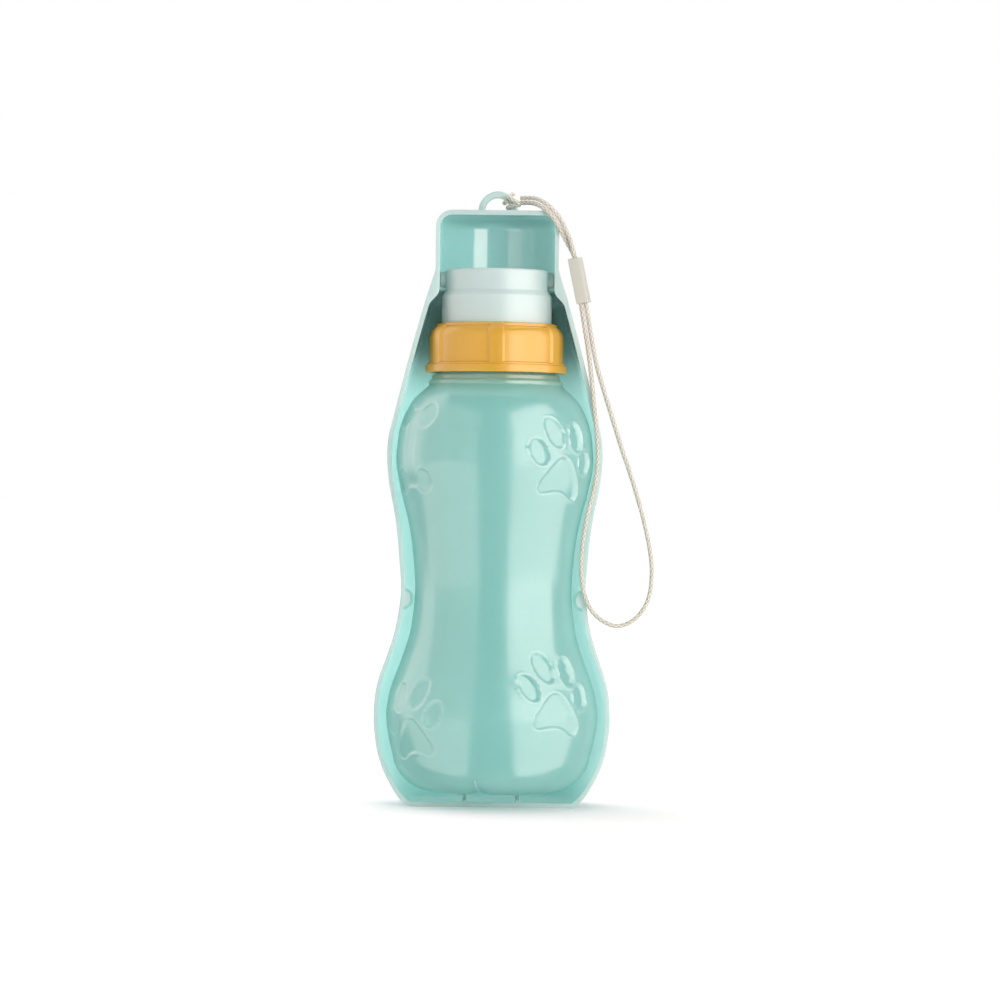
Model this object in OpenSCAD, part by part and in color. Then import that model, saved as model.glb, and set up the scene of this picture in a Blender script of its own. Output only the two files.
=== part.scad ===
// Dog travel water bottle: a squeeze bottle that hangs by its outlet collar in the head of a
// drinking trough, and swings out of it. Millimetres, +Z up. The origin is on the ground under
// the bottle's axis, +X is to the right and +Y is towards the trough's back.

/* [Bottle] */
// Radius of the lower bulge
bulge_r = 43.75; // [42.5:0.25:44]
// Radius of the waist
waist_r = 32.4; // [31.5:0.1:32.5]
// Radius of the upper bulge
shoulder_r = 40.8; // [39.5:0.1:41]
// Thickness of the bottle's wall
bottle_wall = 1.2; // [1.1:0.05:1.5]
// Height of the bottle's foot above the ground
foot_z = 6.3; // [6.2:0.1:7]
// How far the middle of the base is pushed up
push_up = 3; // [1:0.5:5]
// Depth of the pressed paws and bone
ornament_depth = 0.6; // [0.3:0.05:0.7]

/* [Neck and thread] */
// Radius of the neck's outside, under the thread
neck_r = 24.4; // [24.2:0.1:24.5]
// Thickness of the neck's wall
neck_wall = 2; // [1.6:0.1:2.2]
// Height of the bottle's mouth
mouth_z = 195; // [194.4:0.1:195.2]
// Rise of the two-start thread in one turn
thread_lead = 4.8; // [4.4:0.1:4.8]
// Height of a thread ridge
thread_h = 1.2; // [1:0.1:1.2]

/* [Screw ring] */
// Radius of the ring over its grip lugs
ring_r = 28.65; // [28.5:0.05:28.8]
// Radius of the flange at the ring's foot
flange_r = 29.4; // [29:0.1:29.6]
// Number of grip lugs
lug_count = 6; // [4:1:8]
// Width of a grip lug
lug_w = 7; // [5:0.5:9]
// Depth of the panels between the lugs
panel_depth = 0.75; // [0.3:0.05:0.9]

/* [Collar] */
// Radius of the lower tier
lower_tier_r = 22.8; // [22.6:0.05:22.9]
// Radius of the upper tier
upper_tier_r = 21.35; // [21:0.05:21.5]
// Height of the pivot
pivot_z = 217.8; // [217.6:0.1:218]
// Radius of the pivot pins
pin_r = 2.5; // [2.2:0.1:2.6]
// Radius of the round bosses behind the pins
boss_r = 3.25; // [3:0.05:3.4]
// Radius of the outlet hole
outlet_r = 6; // [5:0.25:6.5]

/* [Trough] */
// Half the trough's width at the lower bulge
trough_bulge = 48.85; // [48.5:0.05:49.5]
// Half the trough's width at the waist
trough_waist = 38.1; // [38:0.1:39]
// Half the trough's width at the upper bulge
trough_shoulder = 44.5; // [44.3:0.1:45]
// Half the width of the trough's head
head_half = 25.5; // [25.5:0.05:25.8]
// How far the head's back stands behind the pivots
head_depth = 25.2; // [25.1:0.1:26]
// Thickness of the trough's wall
wall = 2; // [1.8:0.1:2.2]
// Top of the trough's head
head_top = 246.3; // [246:0.1:248]
// How far the rim stands in front of the bottle's axis
rim_front = 9; // [8:0.25:9]
// Radius of the hang loop, at the middle of its band
loop_r = 6.75; // [6.25:0.25:7.5]
// Radius of the hang loop's band
loop_band_r = 1.35; // [1.1:0.05:1.5]

/* [Lanyard] */
// Diameter of the cord
cord_d = 1.9; // [1.6:0.1:1.9]
// Length of the clamp sleeve
sleeve_l = 19; // [18:0.5:20]

/* [Hidden] */
$fn = 96;
small = 0.01;

// A smooth curve through points [z, value] that never overshoots them.
function slope(p, i) = (p[i + 1][1] - p[i][1]) / (p[i + 1][0] - p[i][0]);
function tangent(p, i) =
    i == 0 ? slope(p, 0)
    : i == len(p) - 1 ? slope(p, i - 1)
    : slope(p, i - 1) * slope(p, i) <= 0 ? 0
    : 2 / (1 / slope(p, i - 1) + 1 / slope(p, i));
function span_of(p, z) = max([for (i = [0:len(p) - 2]) if (i == 0 || z >= p[i][0]) i]);
function smooth(p, z) =
    let (i = span_of(p, z), h = p[i + 1][0] - p[i][0], t = (z - p[i][0]) / h)
    p[i][1] * (2 * t ^ 3 - 3 * t ^ 2 + 1) + tangent(p, i) * h * (t ^ 3 - 2 * t ^ 2 + t)
    + p[i + 1][1] * (3 * t ^ 2 - 2 * t ^ 3) + tangent(p, i + 1) * h * (t ^ 3 - t ^ 2);
function ramp(z, a, b) = let (t = min(1, max(0, (z - a) / (b - a)))) t * t * (3 - 2 * t);

// The bottle's outline: [height, radius].
base_r = 24;
base_round = 17;
side_z = foot_z + base_round * 0.81;
bead_z = 174.2;
bead_r = 27.8;
outline = [
    [side_z, base_r + base_round * 0.98],
    [31, bulge_r - 0.65],
    [37.6, bulge_r],
    [46.4, bulge_r - 1.2],
    [52.4, bulge_r - 3.05],
    [62, waist_r + 4.8],
    [74, waist_r + 1.4],
    [90, waist_r],
    [107, waist_r + 1.3],
    [118.5, waist_r + 3.3],
    [131, shoulder_r - 1.9],
    [143.5, shoulder_r],
    [153.3, shoulder_r - 0.8],
    [159.7, shoulder_r - 2.5],
    [167.6, shoulder_r - 6.6],
    [bead_z, bead_r - 0.4],
];
function bottle_radius(z) = smooth(outline, z);

// The outside, from the middle of the base up to the bead, as [radius, height].
dome_steps = 4;
round_steps = 7;
side_steps = 30;
body_path = concat(
    [for (i = [0:dome_steps - 1])
        [base_r * i / dome_steps, foot_z + push_up * cos(90 * i / dome_steps)]],
    [for (i = [0:round_steps])
        let (a = -90 + 79 * i / round_steps)
        [base_r + base_round * cos(a), foot_z + base_round + base_round * sin(a)]],
    [for (i = [1:side_steps])
        let (z = side_z + (bead_z - side_z) * i / side_steps)
        [bottle_radius(z), z]]);
function direction(p, i) =
    let (a = p[max(0, i - 1)], b = p[min(len(p) - 1, i + 1)]) (b - a) / norm(b - a);
// The path moved sideways by d, outwards where d is positive.
function beside(p, d) =
    [for (i = [0:len(p) - 1])
        let (t = direction(p, i), q = p[i] + d * [t[1], -t[0]])
        i == 0 ? [0, p[0][1] - d] : [max(0, q[0]), q[1]]];
function reversed(p) = [for (i = [len(p) - 1:-1:0]) p[i]];

neck_inner = neck_r - neck_wall;
neck_ring_r = 25.5;
neck_path = [
    [bead_r, bead_z], [bead_r, 175.9], [neck_ring_r, 176.5], [neck_ring_r, 178.4],
    [neck_r, 179], [neck_r, mouth_z - 0.4], [neck_r - 0.4, mouth_z],
    [neck_inner + 0.4, mouth_z], [neck_inner, mouth_z - 0.4], [neck_inner, 176.5],
];

// A thread ridge: a trapezoid swept along a helix, sunk into the wall that carries it.
thread_sink = 0.35;
ridge_root = 0.62;
ridge_crest = 0.26;
thread_step = 10;
function ridge_ring(r, out, a, z, f) = [
    [r - out * thread_sink, z - ridge_root],
    [r + out * thread_h * f, z - ridge_crest],
    [r + out * thread_h * f, z + ridge_crest],
    [r - out * thread_sink, z + ridge_root],
];
module thread_ridge(r, out, z0, a0, turn) {
    steps = round(turn / thread_step);
    rings = [for (i = [0:steps])
        let (a = a0 + i * thread_step,
            z = z0 + thread_lead * i * thread_step / 360,
            f = min(1, 0.15 + 0.3 * min(i, steps - i)))
        for (q = ridge_ring(r, out, a, z, f)) [q[0] * cos(a), q[0] * sin(a), q[1]]];
    sides = [for (i = [0:steps - 1]) for (j = [0:3])
        let (k = (j + 1) % 4)
        [4 * i + j, 4 * i + k, 4 * (i + 1) + k, 4 * (i + 1) + j]];
    end = 4 * steps;
    faces = concat(sides, [[3, 2, 1, 0]], [[end, end + 1, end + 2, end + 3]]);
    polyhedron(rings, out > 0 ? faces : [for (f = faces) reversed(f)], convexity = 4);
}
neck_thread_z = 185.4;
ring_thread_gap = 0.95;

// A pressed shape: an outline in the plane that touches the bottle at an angle and a height.
function ellipse(a, b) = [for (i = [0:17]) [a * cos(20 * i), b * sin(20 * i)]];
toes = [
    [-11.8, 11.1, 4.2, 6.2, 26],
    [-3.7, 19, 4.4, 7, 26],
    [9, 17.2, 4.5, 6.4, 6],
    [15, 7, 4.9, 5.6, 0],
];
pad = [
    [0.5, 9.3], [3, 8.4], [6, 5.2], [9, 0.9], [11.3, -3], [11.7, -6.2], [10.6, -8.4],
    [9, -9], [6.6, -8.2], [3.4, -6.3], [0, -5.3], [-4, -5.2], [-7.2, -5.8], [-9.4, -5.9],
    [-11, -5], [-11.5, -3], [-10.6, -0.2], [-8, 3.2], [-5, 6.6], [-2, 9],
];
press_in = 14;
module pressed(angle, z, side) {
    rotate([0, 0, angle])
        translate([0, -bottle_radius(z) + press_in, z])
            rotate([90, 0, 0])
                mirror([side < 0 ? 1 : 0, 0, 0])
                    linear_extrude(height = press_in + 4)
                        children();
}
module paw(angle, z, side) {
    step = 180 / PI / bottle_radius(z);
    pressed(angle, z, side)
        polygon(pad);
    for (t = toes)
        pressed(angle + side * t[0] * step, z + t[1], side)
            rotate(t[4])
                polygon(ellipse(t[2], t[3]));
}
bone_shaft = [9.6, 26];
bone_lobe = [4.6, 13.3, 5.2];
module bone(angle, z) {
    pressed(angle, z, 1) {
        square(bone_shaft, center = true);
        for (x = [-1, 1], y = [-1, 1])
            translate([x * bone_lobe[0], y * bone_lobe[1]])
                circle(r = bone_lobe[2]);
    }
}
module ornaments() {
    paw(38, 39.5, 1);
    paw(43.3, 135.4, 1);
    paw(-49.3, 28.3, -1);
    bone(-53.6, 148.1);
}

module bottle() {
    color("#9fd0c8")
    union() {
        difference() {
            rotate_extrude()
                polygon(concat(body_path, neck_path,
                    reversed([for (q = beside(body_path, -bottle_wall)) if (q[1] < 172) q])));
            intersection() {
                rotate_extrude()
                    polygon(concat(
                        [for (q = beside(body_path, -ornament_depth)) if (q[0] > 38 || q[1] > 60) q],
                        reversed([for (q = beside(body_path, 3)) if (q[0] > 38 || q[1] > 60) q])));
                ornaments();
            }
        }
        for (a = [0, 180])
            thread_ridge(neck_r, 1, neck_thread_z, a, 360);
    }
}

// The screw ring: a lip that holds the collar's flange down, lugs, panels and a foot flange.
ring_foot = 179.2;
ring_top = 199.8;
ring_inner = 26.2;
ring_round = 6.2;
lip_hole = lower_tier_r + 0.3;
lip_z = ring_top - 2;
flange_h = 3.2;
panel_foot = 182.8;
panel_head = 193.4;
ring_path = concat(
    [[ring_inner, ring_foot], [flange_r - 0.4, ring_foot], [flange_r, ring_foot + 0.4],
        [flange_r, ring_foot + flange_h - 0.4], [flange_r - 0.4, ring_foot + flange_h],
        [ring_r, ring_foot + flange_h]],
    [for (a = [0:15:90])
        [ring_r - ring_round * (1 - cos(a)), ring_top - ring_round * (1 - sin(a))]],
    [[lip_hole, ring_top], [lip_hole, lip_z], [ring_inner, lip_z]]);
module screw_ring() {
    lug_angle = lug_w / ring_r * 180 / PI;
    pitch = 360 / lug_count;
    color("#e3a548")
    union() {
        difference() {
            rotate_extrude()
                polygon(ring_path);
            for (i = [0:lug_count - 1])
                rotate([0, 0, -90 + i * pitch + lug_angle / 2])
                    rotate_extrude(angle = pitch - lug_angle)
                        polygon([
                            [ring_r - panel_depth, panel_foot], [ring_r + 1, panel_foot],
                            [ring_r + 1, panel_head], [ring_r - panel_depth, panel_head]]);
        }
        for (a = [0, 180])
            thread_ridge(ring_inner, -1, neck_thread_z - ring_thread_gap, a, 270);
    }
}

// The outlet collar: the part that pivots in the trough's head.
flange_top = lip_z - 0.1;
flange_foot = flange_top - 1.5;
collar_foot_r = 25.6;
tier_z = 211.1;
step_z = 213.2;
collar_top = 221.9;
lower_bore = lower_tier_r - 1.8;
upper_bore = upper_tier_r - 1.8;
deck_top = 219.4;
deck_foot = 217.8;
seat_r = 9.6;
seat_wall = 1.6;
seat_foot = 212.8;
pin_end = 25.8;
ear_face = 23.7;
boss_gap = 0.35;
collar_path = [
    [lower_bore, flange_foot], [collar_foot_r, flange_foot], [collar_foot_r, flange_top],
    [lower_tier_r, flange_top], [lower_tier_r, tier_z - 0.6], [lower_tier_r - 0.35, tier_z],
    [upper_tier_r + 0.2, step_z - 0.3], [upper_tier_r, step_z], [upper_tier_r, collar_top - 0.8],
    [upper_tier_r - 0.25, collar_top - 0.2], [upper_tier_r - 0.9, collar_top],
    [upper_bore + 0.3, collar_top], [upper_bore, collar_top - 0.4], [upper_bore, deck_top],
    [outlet_r + 1.6, deck_top], [outlet_r + 1.4, deck_top + 1.3], [outlet_r, deck_top + 1.3],
    [outlet_r, deck_foot], [seat_r, deck_foot], [seat_r, seat_foot], [seat_r + seat_wall, seat_foot],
    [seat_r + seat_wall, deck_foot], [upper_bore, deck_foot], [upper_bore, step_z - 1],
    [lower_bore, tier_z - 2],
];
module outlet_collar() {
    color("#dcebe8")
    union() {
        rotate_extrude()
            polygon(collar_path);
        for (side = [-1, 1]) {
            translate([side * (upper_bore + 0.6), 0, pivot_z])
                rotate([0, side * 90, 0])
                    cylinder(r = boss_r, h = ear_face - boss_gap - upper_bore - 0.6);
            translate([side * (upper_bore + 0.6), 0, pivot_z])
                rotate([0, side * 90, 0])
                    cylinder(r = pin_r, h = pin_end - upper_bore - 0.6);
        }
    }
}

// The slit valve: a silicone disc whose dome stands in the outlet, cut by a cross.
valve_disc = 1.2;
valve_dome_r = outlet_r - 0.3;
valve_wall = 0.9;
slit_w = 0.3;
slit_l = 7;
disc_z = deck_foot - 0.05 - valve_disc;
module slit_valve() {
    color("#f2f4f1")
    difference() {
        rotate_extrude()
            polygon([
                [0, disc_z + 1.4], [valve_dome_r - valve_wall - 0.6, disc_z + 1],
                [valve_dome_r - valve_wall, disc_z], [seat_r - 0.1, disc_z],
                [seat_r - 0.1, disc_z + valve_disc], [valve_dome_r, disc_z + valve_disc],
                [valve_dome_r, deck_top - 0.3], [valve_dome_r - 0.7, deck_top + 0.2],
                [0, disc_z + 1.4 + valve_wall]]);
        for (a = [0, 90])
            rotate([0, 0, a])
                translate([-slit_l / 2, -slit_w / 2, disc_z - 1])
                    cube([slit_l, slit_w, 6]);
    }
}

// The ring that is snapped in under the valve.
retainer_bore = 7;
module valve_retainer() {
    color("#e9efec")
    rotate_extrude()
        polygon([
            [retainer_bore, seat_foot + 0.2], [seat_r - 0.5, seat_foot + 0.2],
            [seat_r, seat_foot + 0.8], [seat_r, disc_z], [retainer_bore, disc_z]]);
}

// The sealing washer between the collar's flange and the bottle's mouth.
module neck_gasket() {
    color("#eef2f0")
    rotate_extrude()
        polygon([
            [neck_inner - 0.6, mouth_z + 0.05], [neck_r - 0.1, mouth_z + 0.05],
            [neck_r - 0.1, flange_foot], [neck_inner - 0.6, flange_foot]]);
}

// The trough: half-width and depth of its outside at each height.
trough_sides = [
    [0, 33.8], [2.5, 37], [5, 39.1], [9, 41.6], [15.5, trough_bulge - 4], [24, trough_bulge - 1.4],
    [36, trough_bulge], [44.5, trough_bulge - 0.35], [52.6, trough_bulge - 1.85],
    [60.8, trough_bulge - 4.75], [69, trough_waist + 3.3], [77.3, trough_waist + 1.4],
    [89.7, trough_waist], [102, trough_waist + 0.9], [114.4, trough_waist + 2.1],
    [126.8, trough_shoulder - 2.25], [135, trough_shoulder - 0.8], [145.4, trough_shoulder],
    [152, trough_shoulder - 0.5], [159.8, trough_shoulder - 2.3], [184.5, head_half + 10.6],
    [209.2, head_half + 3.8], [217.5, head_half + 1.2], [222.5, head_half - 0.1],
    [head_top, head_half],
];
trough_depths = [
    [0, 37], [2.5, 40], [6, 43.2], [13, 46.4], [24, 48], [38, 48.4], [62, 46.6], [90, 43],
    [118, 43.8], [145, 45.6], [165, 43.6], [184.5, 39], [200, 33.2], [209.2, 29], [217.5, 26.2],
    [222.5, head_depth + 0.1], [head_top, head_depth],
];
head_round = 7;
head_inner_round = 5;
ear_z = [207, 213.4];
// The floor's corner keeps its thickness where the inside follows the outside a little lower.
function corner(z) = 1 - ramp(z, 16, 30);
function outside(p, z, top, r) =
    let (d = max(0, z - (top - r)))
    smooth(p, z) - r + sqrt(max(0, r * r - d * d));
function inner_half(z) =
    let (body = smooth(trough_sides, z - 1.2 * corner(z)) - wall + 0.4 * corner(z),
        k = ramp(z, ear_z[0], ear_z[1]))
    body * (1 - k) + ear_face * k;
function inner_depth(z) = smooth(trough_depths, z - 1.2 * corner(z)) - wall + 0.4 * corner(z);
function top_round(z, top, r) =
    let (d = min(r, max(0, z - (top - r)))) r - sqrt(r * r - d * d);
function squareness(z) = 2.6 - 0.6 * ramp(z, 150, 205);
function section(half, depth, n, z) = concat(
    [[half, -rim_front, z]],
    [for (i = [0:arc_steps])
        let (t = 180 * i / arc_steps)
        [half * sign(cos(t)) * abs(cos(t)) ^ (2 / n), depth * abs(sin(t)) ^ (2 / n), z]],
    [[-half, -rim_front, z]]);
arc_steps = 20;
round_levels = 5;
function levels(foot, top, r) = concat(
    [for (z = [0, 1.2, 2.6, 4.6, 7.5, 11.5]) foot + z],
    [for (i = [0:22]) let (z0 = foot + 17, z1 = 205.5) z0 + (z1 - z0) * i / 22],
    [207.5, 209, 210.5, 212, 213.6, 218, 222.5, 230],
    [for (i = [0:round_levels]) top - r + r * sin(90 * i / round_levels)]);
outer_levels = levels(0, head_top, head_round);
inner_levels = levels(wall, head_top - wall, head_inner_round);
module trough_shell() {
    points = arc_steps + 3;
    count = len(outer_levels);
    outer = [for (z = outer_levels)
        let (d = top_round(z, head_top, head_round))
        each section(smooth(trough_sides, z) - d, smooth(trough_depths, z) - d, squareness(z), z)];
    inner = [for (z = inner_levels)
        let (d = top_round(z, head_top - wall, head_inner_round))
        each section(inner_half(z) - d, inner_depth(z) - d, squareness(z), z)];
    shift = count * points;
    last = (count - 1) * points;
    function quad(i, j, s) = [s + i * points + j, s + i * points + j + 1,
        s + (i + 1) * points + j + 1, s + (i + 1) * points + j];
    faces = concat(
        [for (i = [0:count - 2]) for (j = [0:points - 2]) reversed(quad(i, j, 0))],
        [for (i = [0:count - 2]) for (j = [0:points - 2]) quad(i, j, shift)],
        [[for (j = [0:points - 1]) j]],
        [[for (j = [points - 1:-1:0]) last + j]],
        [[for (j = [points - 1:-1:0]) shift + j]],
        [[for (j = [0:points - 1]) shift + last + j]],
        [for (i = [0:count - 2])
            [i * points, (i + 1) * points, shift + (i + 1) * points, shift + i * points]],
        [for (i = [0:count - 2])
            [(i + 1) * points - 1, shift + (i + 1) * points - 1,
                shift + (i + 2) * points - 1, (i + 2) * points - 1]],
        [[0, shift, shift + points - 1, points - 1]],
        [[last, last + points - 1, shift + last + points - 1, shift + last]]);
    polyhedron([for (q = concat(outer, inner)) q], faces, convexity = 8);
}

loop_z = head_top + 0.3;
hole_r = pin_r + 0.05;
nub_z = 85.7;
nub_r = 4.5;
nub_tip = 32.9;
rib_x = 11;
rib_w = 1.5;
rib_top = 3;
module hang_loop() {
    translate([0, 0, loop_z])
        rotate([90, 0, 0])
            rotate_extrude(angle = 180)
                translate([loop_r, 0])
                    circle(r = loop_band_r, $fn = 32);
    for (side = [-1, 1])
        translate([side * loop_r, 0, head_top - 1])
            cylinder(r = loop_band_r, h = 1 + loop_z - head_top + small, $fn = 32);
}
module nub(side) {
    intersection() {
        translate([side * (nub_tip + nub_r), -rim_front + 3.2, nub_z])
            sphere(r = nub_r, $fn = 48);
        translate([side * (nub_tip + 2) - 2.5, -rim_front, nub_z - nub_r])
            cube([5, 8, 2 * nub_r]);
    }
}
module trough() {
    color("#a9dcd6")
    union() {
        difference() {
            trough_shell();
            translate([-40, 0, pivot_z])
                rotate([0, 90, 0])
                    cylinder(r = hole_r, h = 80);
        }
        hang_loop();
        for (side = [-1, 1]) {
            nub(side);
            translate([side * rib_x - rib_w / 2, -rim_front + 2, wall - 0.5])
                cube([rib_w, 37, rib_top - wall + 0.5]);
        }
    }
}

// The lanyard's route, from the hitch down one strand, through the clamp, round the wrist loop,
// back through the clamp and up the other strand to the hitch.
front_y = -11;
route = [
    [9.5, -1.2, 251.9], [12.2, -3, 252], [15.5, -6, 251.5], [18.6, -9.6, 249.9],
    [22, -10.8, 247.2], [25.6, front_y, 243], [29.6, -11.8, 234.8],
    [31.9, -12, 226.8], [34.5, -11.7, 217.6], [36.7, front_y, 208], [40.7, front_y, 186],
    [44.5, front_y, 172.5], [48.4, front_y, 160.3], [52.4, front_y, 148], [56.7, front_y, 135.7],
    [60.8, front_y, 122], [64, front_y, 108.5], [65.2, front_y, 97], [63.6, front_y, 86],
    [58.4, front_y, 78.4], [51.3, front_y, 75.5], [44.8, front_y, 77.8], [40, front_y, 82.8],
    [37, front_y, 90.8], [36.1, front_y, 101], [36.9, front_y, 112], [38.7, front_y, 122.5],
    [41.2, front_y, 133], [42.4, front_y, 144], [41.7, front_y, 156], [40.4, front_y, 168],
    [38.3, front_y, 186], [34.7, front_y, 207.6], [33.1, -10.3, 217.4], [31.9, -10, 226.8],
    [28.3, -10.2, 233.8], [23.9, front_y, 241.8], [20.6, -10.8, 245.8], [17.6, -9.6, 248],
    [15, -6, 249.4], [12, -3, 249.9], [9.3, -1.2, 249.9],
];
function curve_point(p, i, t) =
    let (a = p[max(0, i - 1)], b = p[i], c = p[i + 1], d = p[min(len(p) - 1, i + 2)])
    0.5 * (2 * b + (c - a) * t + (2 * a - 5 * b + 4 * c - d) * t ^ 2
        + (3 * b - a - 3 * c + d) * t ^ 3);
cord_line = concat([for (i = [0:len(route) - 2]) for (t = [0, 0.5]) curve_point(route, i, t)],
    [route[len(route) - 1]]);
cord_sides = 8;
// Each ring keeps its place round the line by using the trough's depth as its side direction.
module lanyard_cord() {
    count = len(cord_line);
    points = [for (i = [0:count - 1])
        let (t = cord_line[min(count - 1, i + 1)] - cord_line[max(0, i - 1)],
            u = cross(t, [0, 1, 0]) / norm(cross(t, [0, 1, 0])),
            v = cross(t, u) / norm(cross(t, u)))
        for (j = [0:cord_sides - 1])
            let (a = 360 * (j + 0.5) / cord_sides)
            cord_line[i] + cord_d / 2 * (cos(a) * u + sin(a) * v)];
    sides = [for (i = [0:count - 2]) for (j = [0:cord_sides - 1])
        let (k = (j + 1) % cord_sides)
        [i * cord_sides + j, (i + 1) * cord_sides + j, (i + 1) * cord_sides + k, i * cord_sides + k]];
    color("#d6d1c2")
    polyhedron(points, concat(sides, [[for (j = [0:cord_sides - 1]) j]],
        [[for (j = [cord_sides - 1:-1:0]) (count - 1) * cord_sides + j]]), convexity = 6);
}

// The hitch: two turns round the hang loop's band and the bight that crosses over the strands.
hitch_angles = [16, 48];
turn_r = loop_band_r + cord_d / 2 + 0.1;
bight_r = 2.3;
module lanyard_hitch() {
    color("#cbc5b4")
    union() {
        for (a = hitch_angles)
            rotate_about_loop(a)
                rotate_extrude($fn = 48)
                    translate([turn_r, 0])
                        circle(r = cord_d / 2, $fn = 24);
        rotate_about_loop(32)
            translate([turn_r, -0.6, 0])
                rotate([90, 0, 25])
                    rotate([0, 0, -90])
                        rotate_extrude(angle = 180, $fn = 48)
                            translate([bight_r, 0])
                                circle(r = cord_d / 2, $fn = 24);
    }
}
module rotate_about_loop(a) {
    translate([loop_r * cos(a), 0, loop_z + loop_r * sin(a)])
        rotate([0, -a, 0])
            children();
}

// The clamp: a square tube that leans with the strands it holds.
sleeve_top = [31.9, -11, 226.8];
sleeve_lean = 11.9;
sleeve_turn = 15;
sleeve_w = 5.6;
sleeve_d = 6;
bore_w = 4.3;
bore_d = 4.4;
module cord_clamp() {
    color("#d9d9cc")
    translate(sleeve_top)
        rotate([0, 180 - sleeve_lean, 0])
            rotate([0, 0, sleeve_turn])
                difference() {
                    translate([-sleeve_w / 2, -sleeve_d / 2, 0])
                        cube([sleeve_w, sleeve_d, sleeve_l]);
                    translate([-bore_w / 2, -bore_d / 2, -1])
                        cube([bore_w, bore_d, sleeve_l + 2]);
                }
}

trough();
bottle();
screw_ring();
outlet_collar();
slit_valve();
valve_retainer();
neck_gasket();
lanyard_cord();
lanyard_hitch();
cord_clamp();
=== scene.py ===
import math

import bmesh
import bpy
import numpy as np
from mathutils import Matrix, Vector


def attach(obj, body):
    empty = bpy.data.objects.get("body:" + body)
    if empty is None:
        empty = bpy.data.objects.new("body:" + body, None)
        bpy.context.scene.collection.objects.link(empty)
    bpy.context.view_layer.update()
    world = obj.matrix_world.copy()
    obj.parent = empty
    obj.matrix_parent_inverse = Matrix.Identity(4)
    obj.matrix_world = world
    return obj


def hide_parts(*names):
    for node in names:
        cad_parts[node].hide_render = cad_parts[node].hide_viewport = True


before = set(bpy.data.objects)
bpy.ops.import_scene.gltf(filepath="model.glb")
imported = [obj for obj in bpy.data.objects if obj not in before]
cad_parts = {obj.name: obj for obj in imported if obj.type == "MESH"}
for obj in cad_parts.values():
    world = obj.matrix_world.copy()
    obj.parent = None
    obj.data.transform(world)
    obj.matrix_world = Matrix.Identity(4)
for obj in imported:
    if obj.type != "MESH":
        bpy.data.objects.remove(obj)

scene = bpy.context.scene
scene.view_settings.view_transform = "Standard"
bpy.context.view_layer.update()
mm = 0.001
mergeGap = 0.000002  # metres: points nearer than this are one


# small helpers

def hexColor(code):
    channels = [int(code[i:i + 2], 16) / 255 for i in (1, 3, 5)]
    linear = [c / 12.92 if c <= 0.04045 else ((c + 0.055) / 1.055) ** 2.4 for c in channels]
    return (*linear, 1.0)


def deselectAll():
    if bpy.context.mode != "OBJECT":
        bpy.ops.object.mode_set(mode="OBJECT")
    bpy.ops.object.select_all(action="DESELECT")


def makeActive(piece):
    deselectAll()
    piece.select_set(True)
    bpy.context.view_layer.objects.active = piece


def editAll():
    bpy.ops.object.mode_set(mode="EDIT")
    bpy.ops.mesh.select_all(action="SELECT")


def leaveEdit():
    bpy.ops.object.mode_set(mode="OBJECT")


def meshPiece(name, points, faces, edges=()):
    mesh = bpy.data.meshes.new(name)
    mesh.from_pydata([tuple(p) for p in points], list(edges), [tuple(f) for f in faces])
    mesh.validate()
    piece = bpy.data.objects.new(name, mesh)
    scene.collection.objects.link(piece)
    makeActive(piece)
    return piece


def placeInMesh(piece):  # the object goes back to the origin, its place stays in the mesh
    makeActive(piece)
    bpy.ops.object.transform_apply(location=True, rotation=True, scale=True)


def applyModifier(piece, kind, **settings):
    makeActive(piece)
    modifier = piece.modifiers.new(kind.title(), kind)
    for key, value in settings.items():
        setattr(modifier, key, value)
    bpy.ops.object.modifier_apply(modifier=modifier.name)


def combine(piece, other, operation):
    applyModifier(piece, "BOOLEAN", operation=operation, object=other, solver="EXACT")
    bpy.data.objects.remove(other, do_unlink=True)


def smoothShade(piece, degrees):
    makeActive(piece)
    bpy.ops.object.shade_smooth_by_angle(angle=math.radians(degrees))


def finishPiece(piece, body, materials, replaced):
    placeInMesh(piece)
    piece.data.materials.clear()
    for material in materials:
        piece.data.materials.append(material)
    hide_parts(replaced)
    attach(piece, body)


def slope(p, i):
    return (p[i + 1][1] - p[i][1]) / (p[i + 1][0] - p[i][0])


def tangent(p, i):
    if i == 0:
        return slope(p, 0)
    if i == len(p) - 1:
        return slope(p, i - 1)
    a, b = slope(p, i - 1), slope(p, i)
    return 0 if a * b <= 0 else 2 / (1 / a + 1 / b)


def curveAt(p, x):  # a smooth line through points that never overshoots them
    i = max([k for k in range(len(p) - 1) if k == 0 or x >= p[k][0]])
    h = p[i + 1][0] - p[i][0]
    t = (x - p[i][0]) / h
    return (p[i][1] * (2 * t ** 3 - 3 * t ** 2 + 1) + tangent(p, i) * h * (t ** 3 - 2 * t ** 2 + t)
            + p[i + 1][1] * (3 * t ** 2 - 2 * t ** 3) + tangent(p, i + 1) * h * (t ** 3 - t ** 2))


def easeInOut(t):
    return t * t * (3 - 2 * t)


def ramp(x, a, b):
    return easeInOut(min(1.0, max(0.0, (x - a) / (b - a))))


def directions(line):  # unit tangents along a line of points
    along = np.gradient(np.array(line, float), axis=0)
    return along / np.maximum(np.linalg.norm(along, axis=1), 1e-9)[:, None]


def splinePoint(a, b, c, d, t):  # between b and c, on a smooth curve through all four
    return 0.5 * (2 * b + (c - a) * t + (2 * a - 5 * b + 4 * c - d) * t * t
                  + (3 * b - a - 3 * c + d) * t ** 3)


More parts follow.
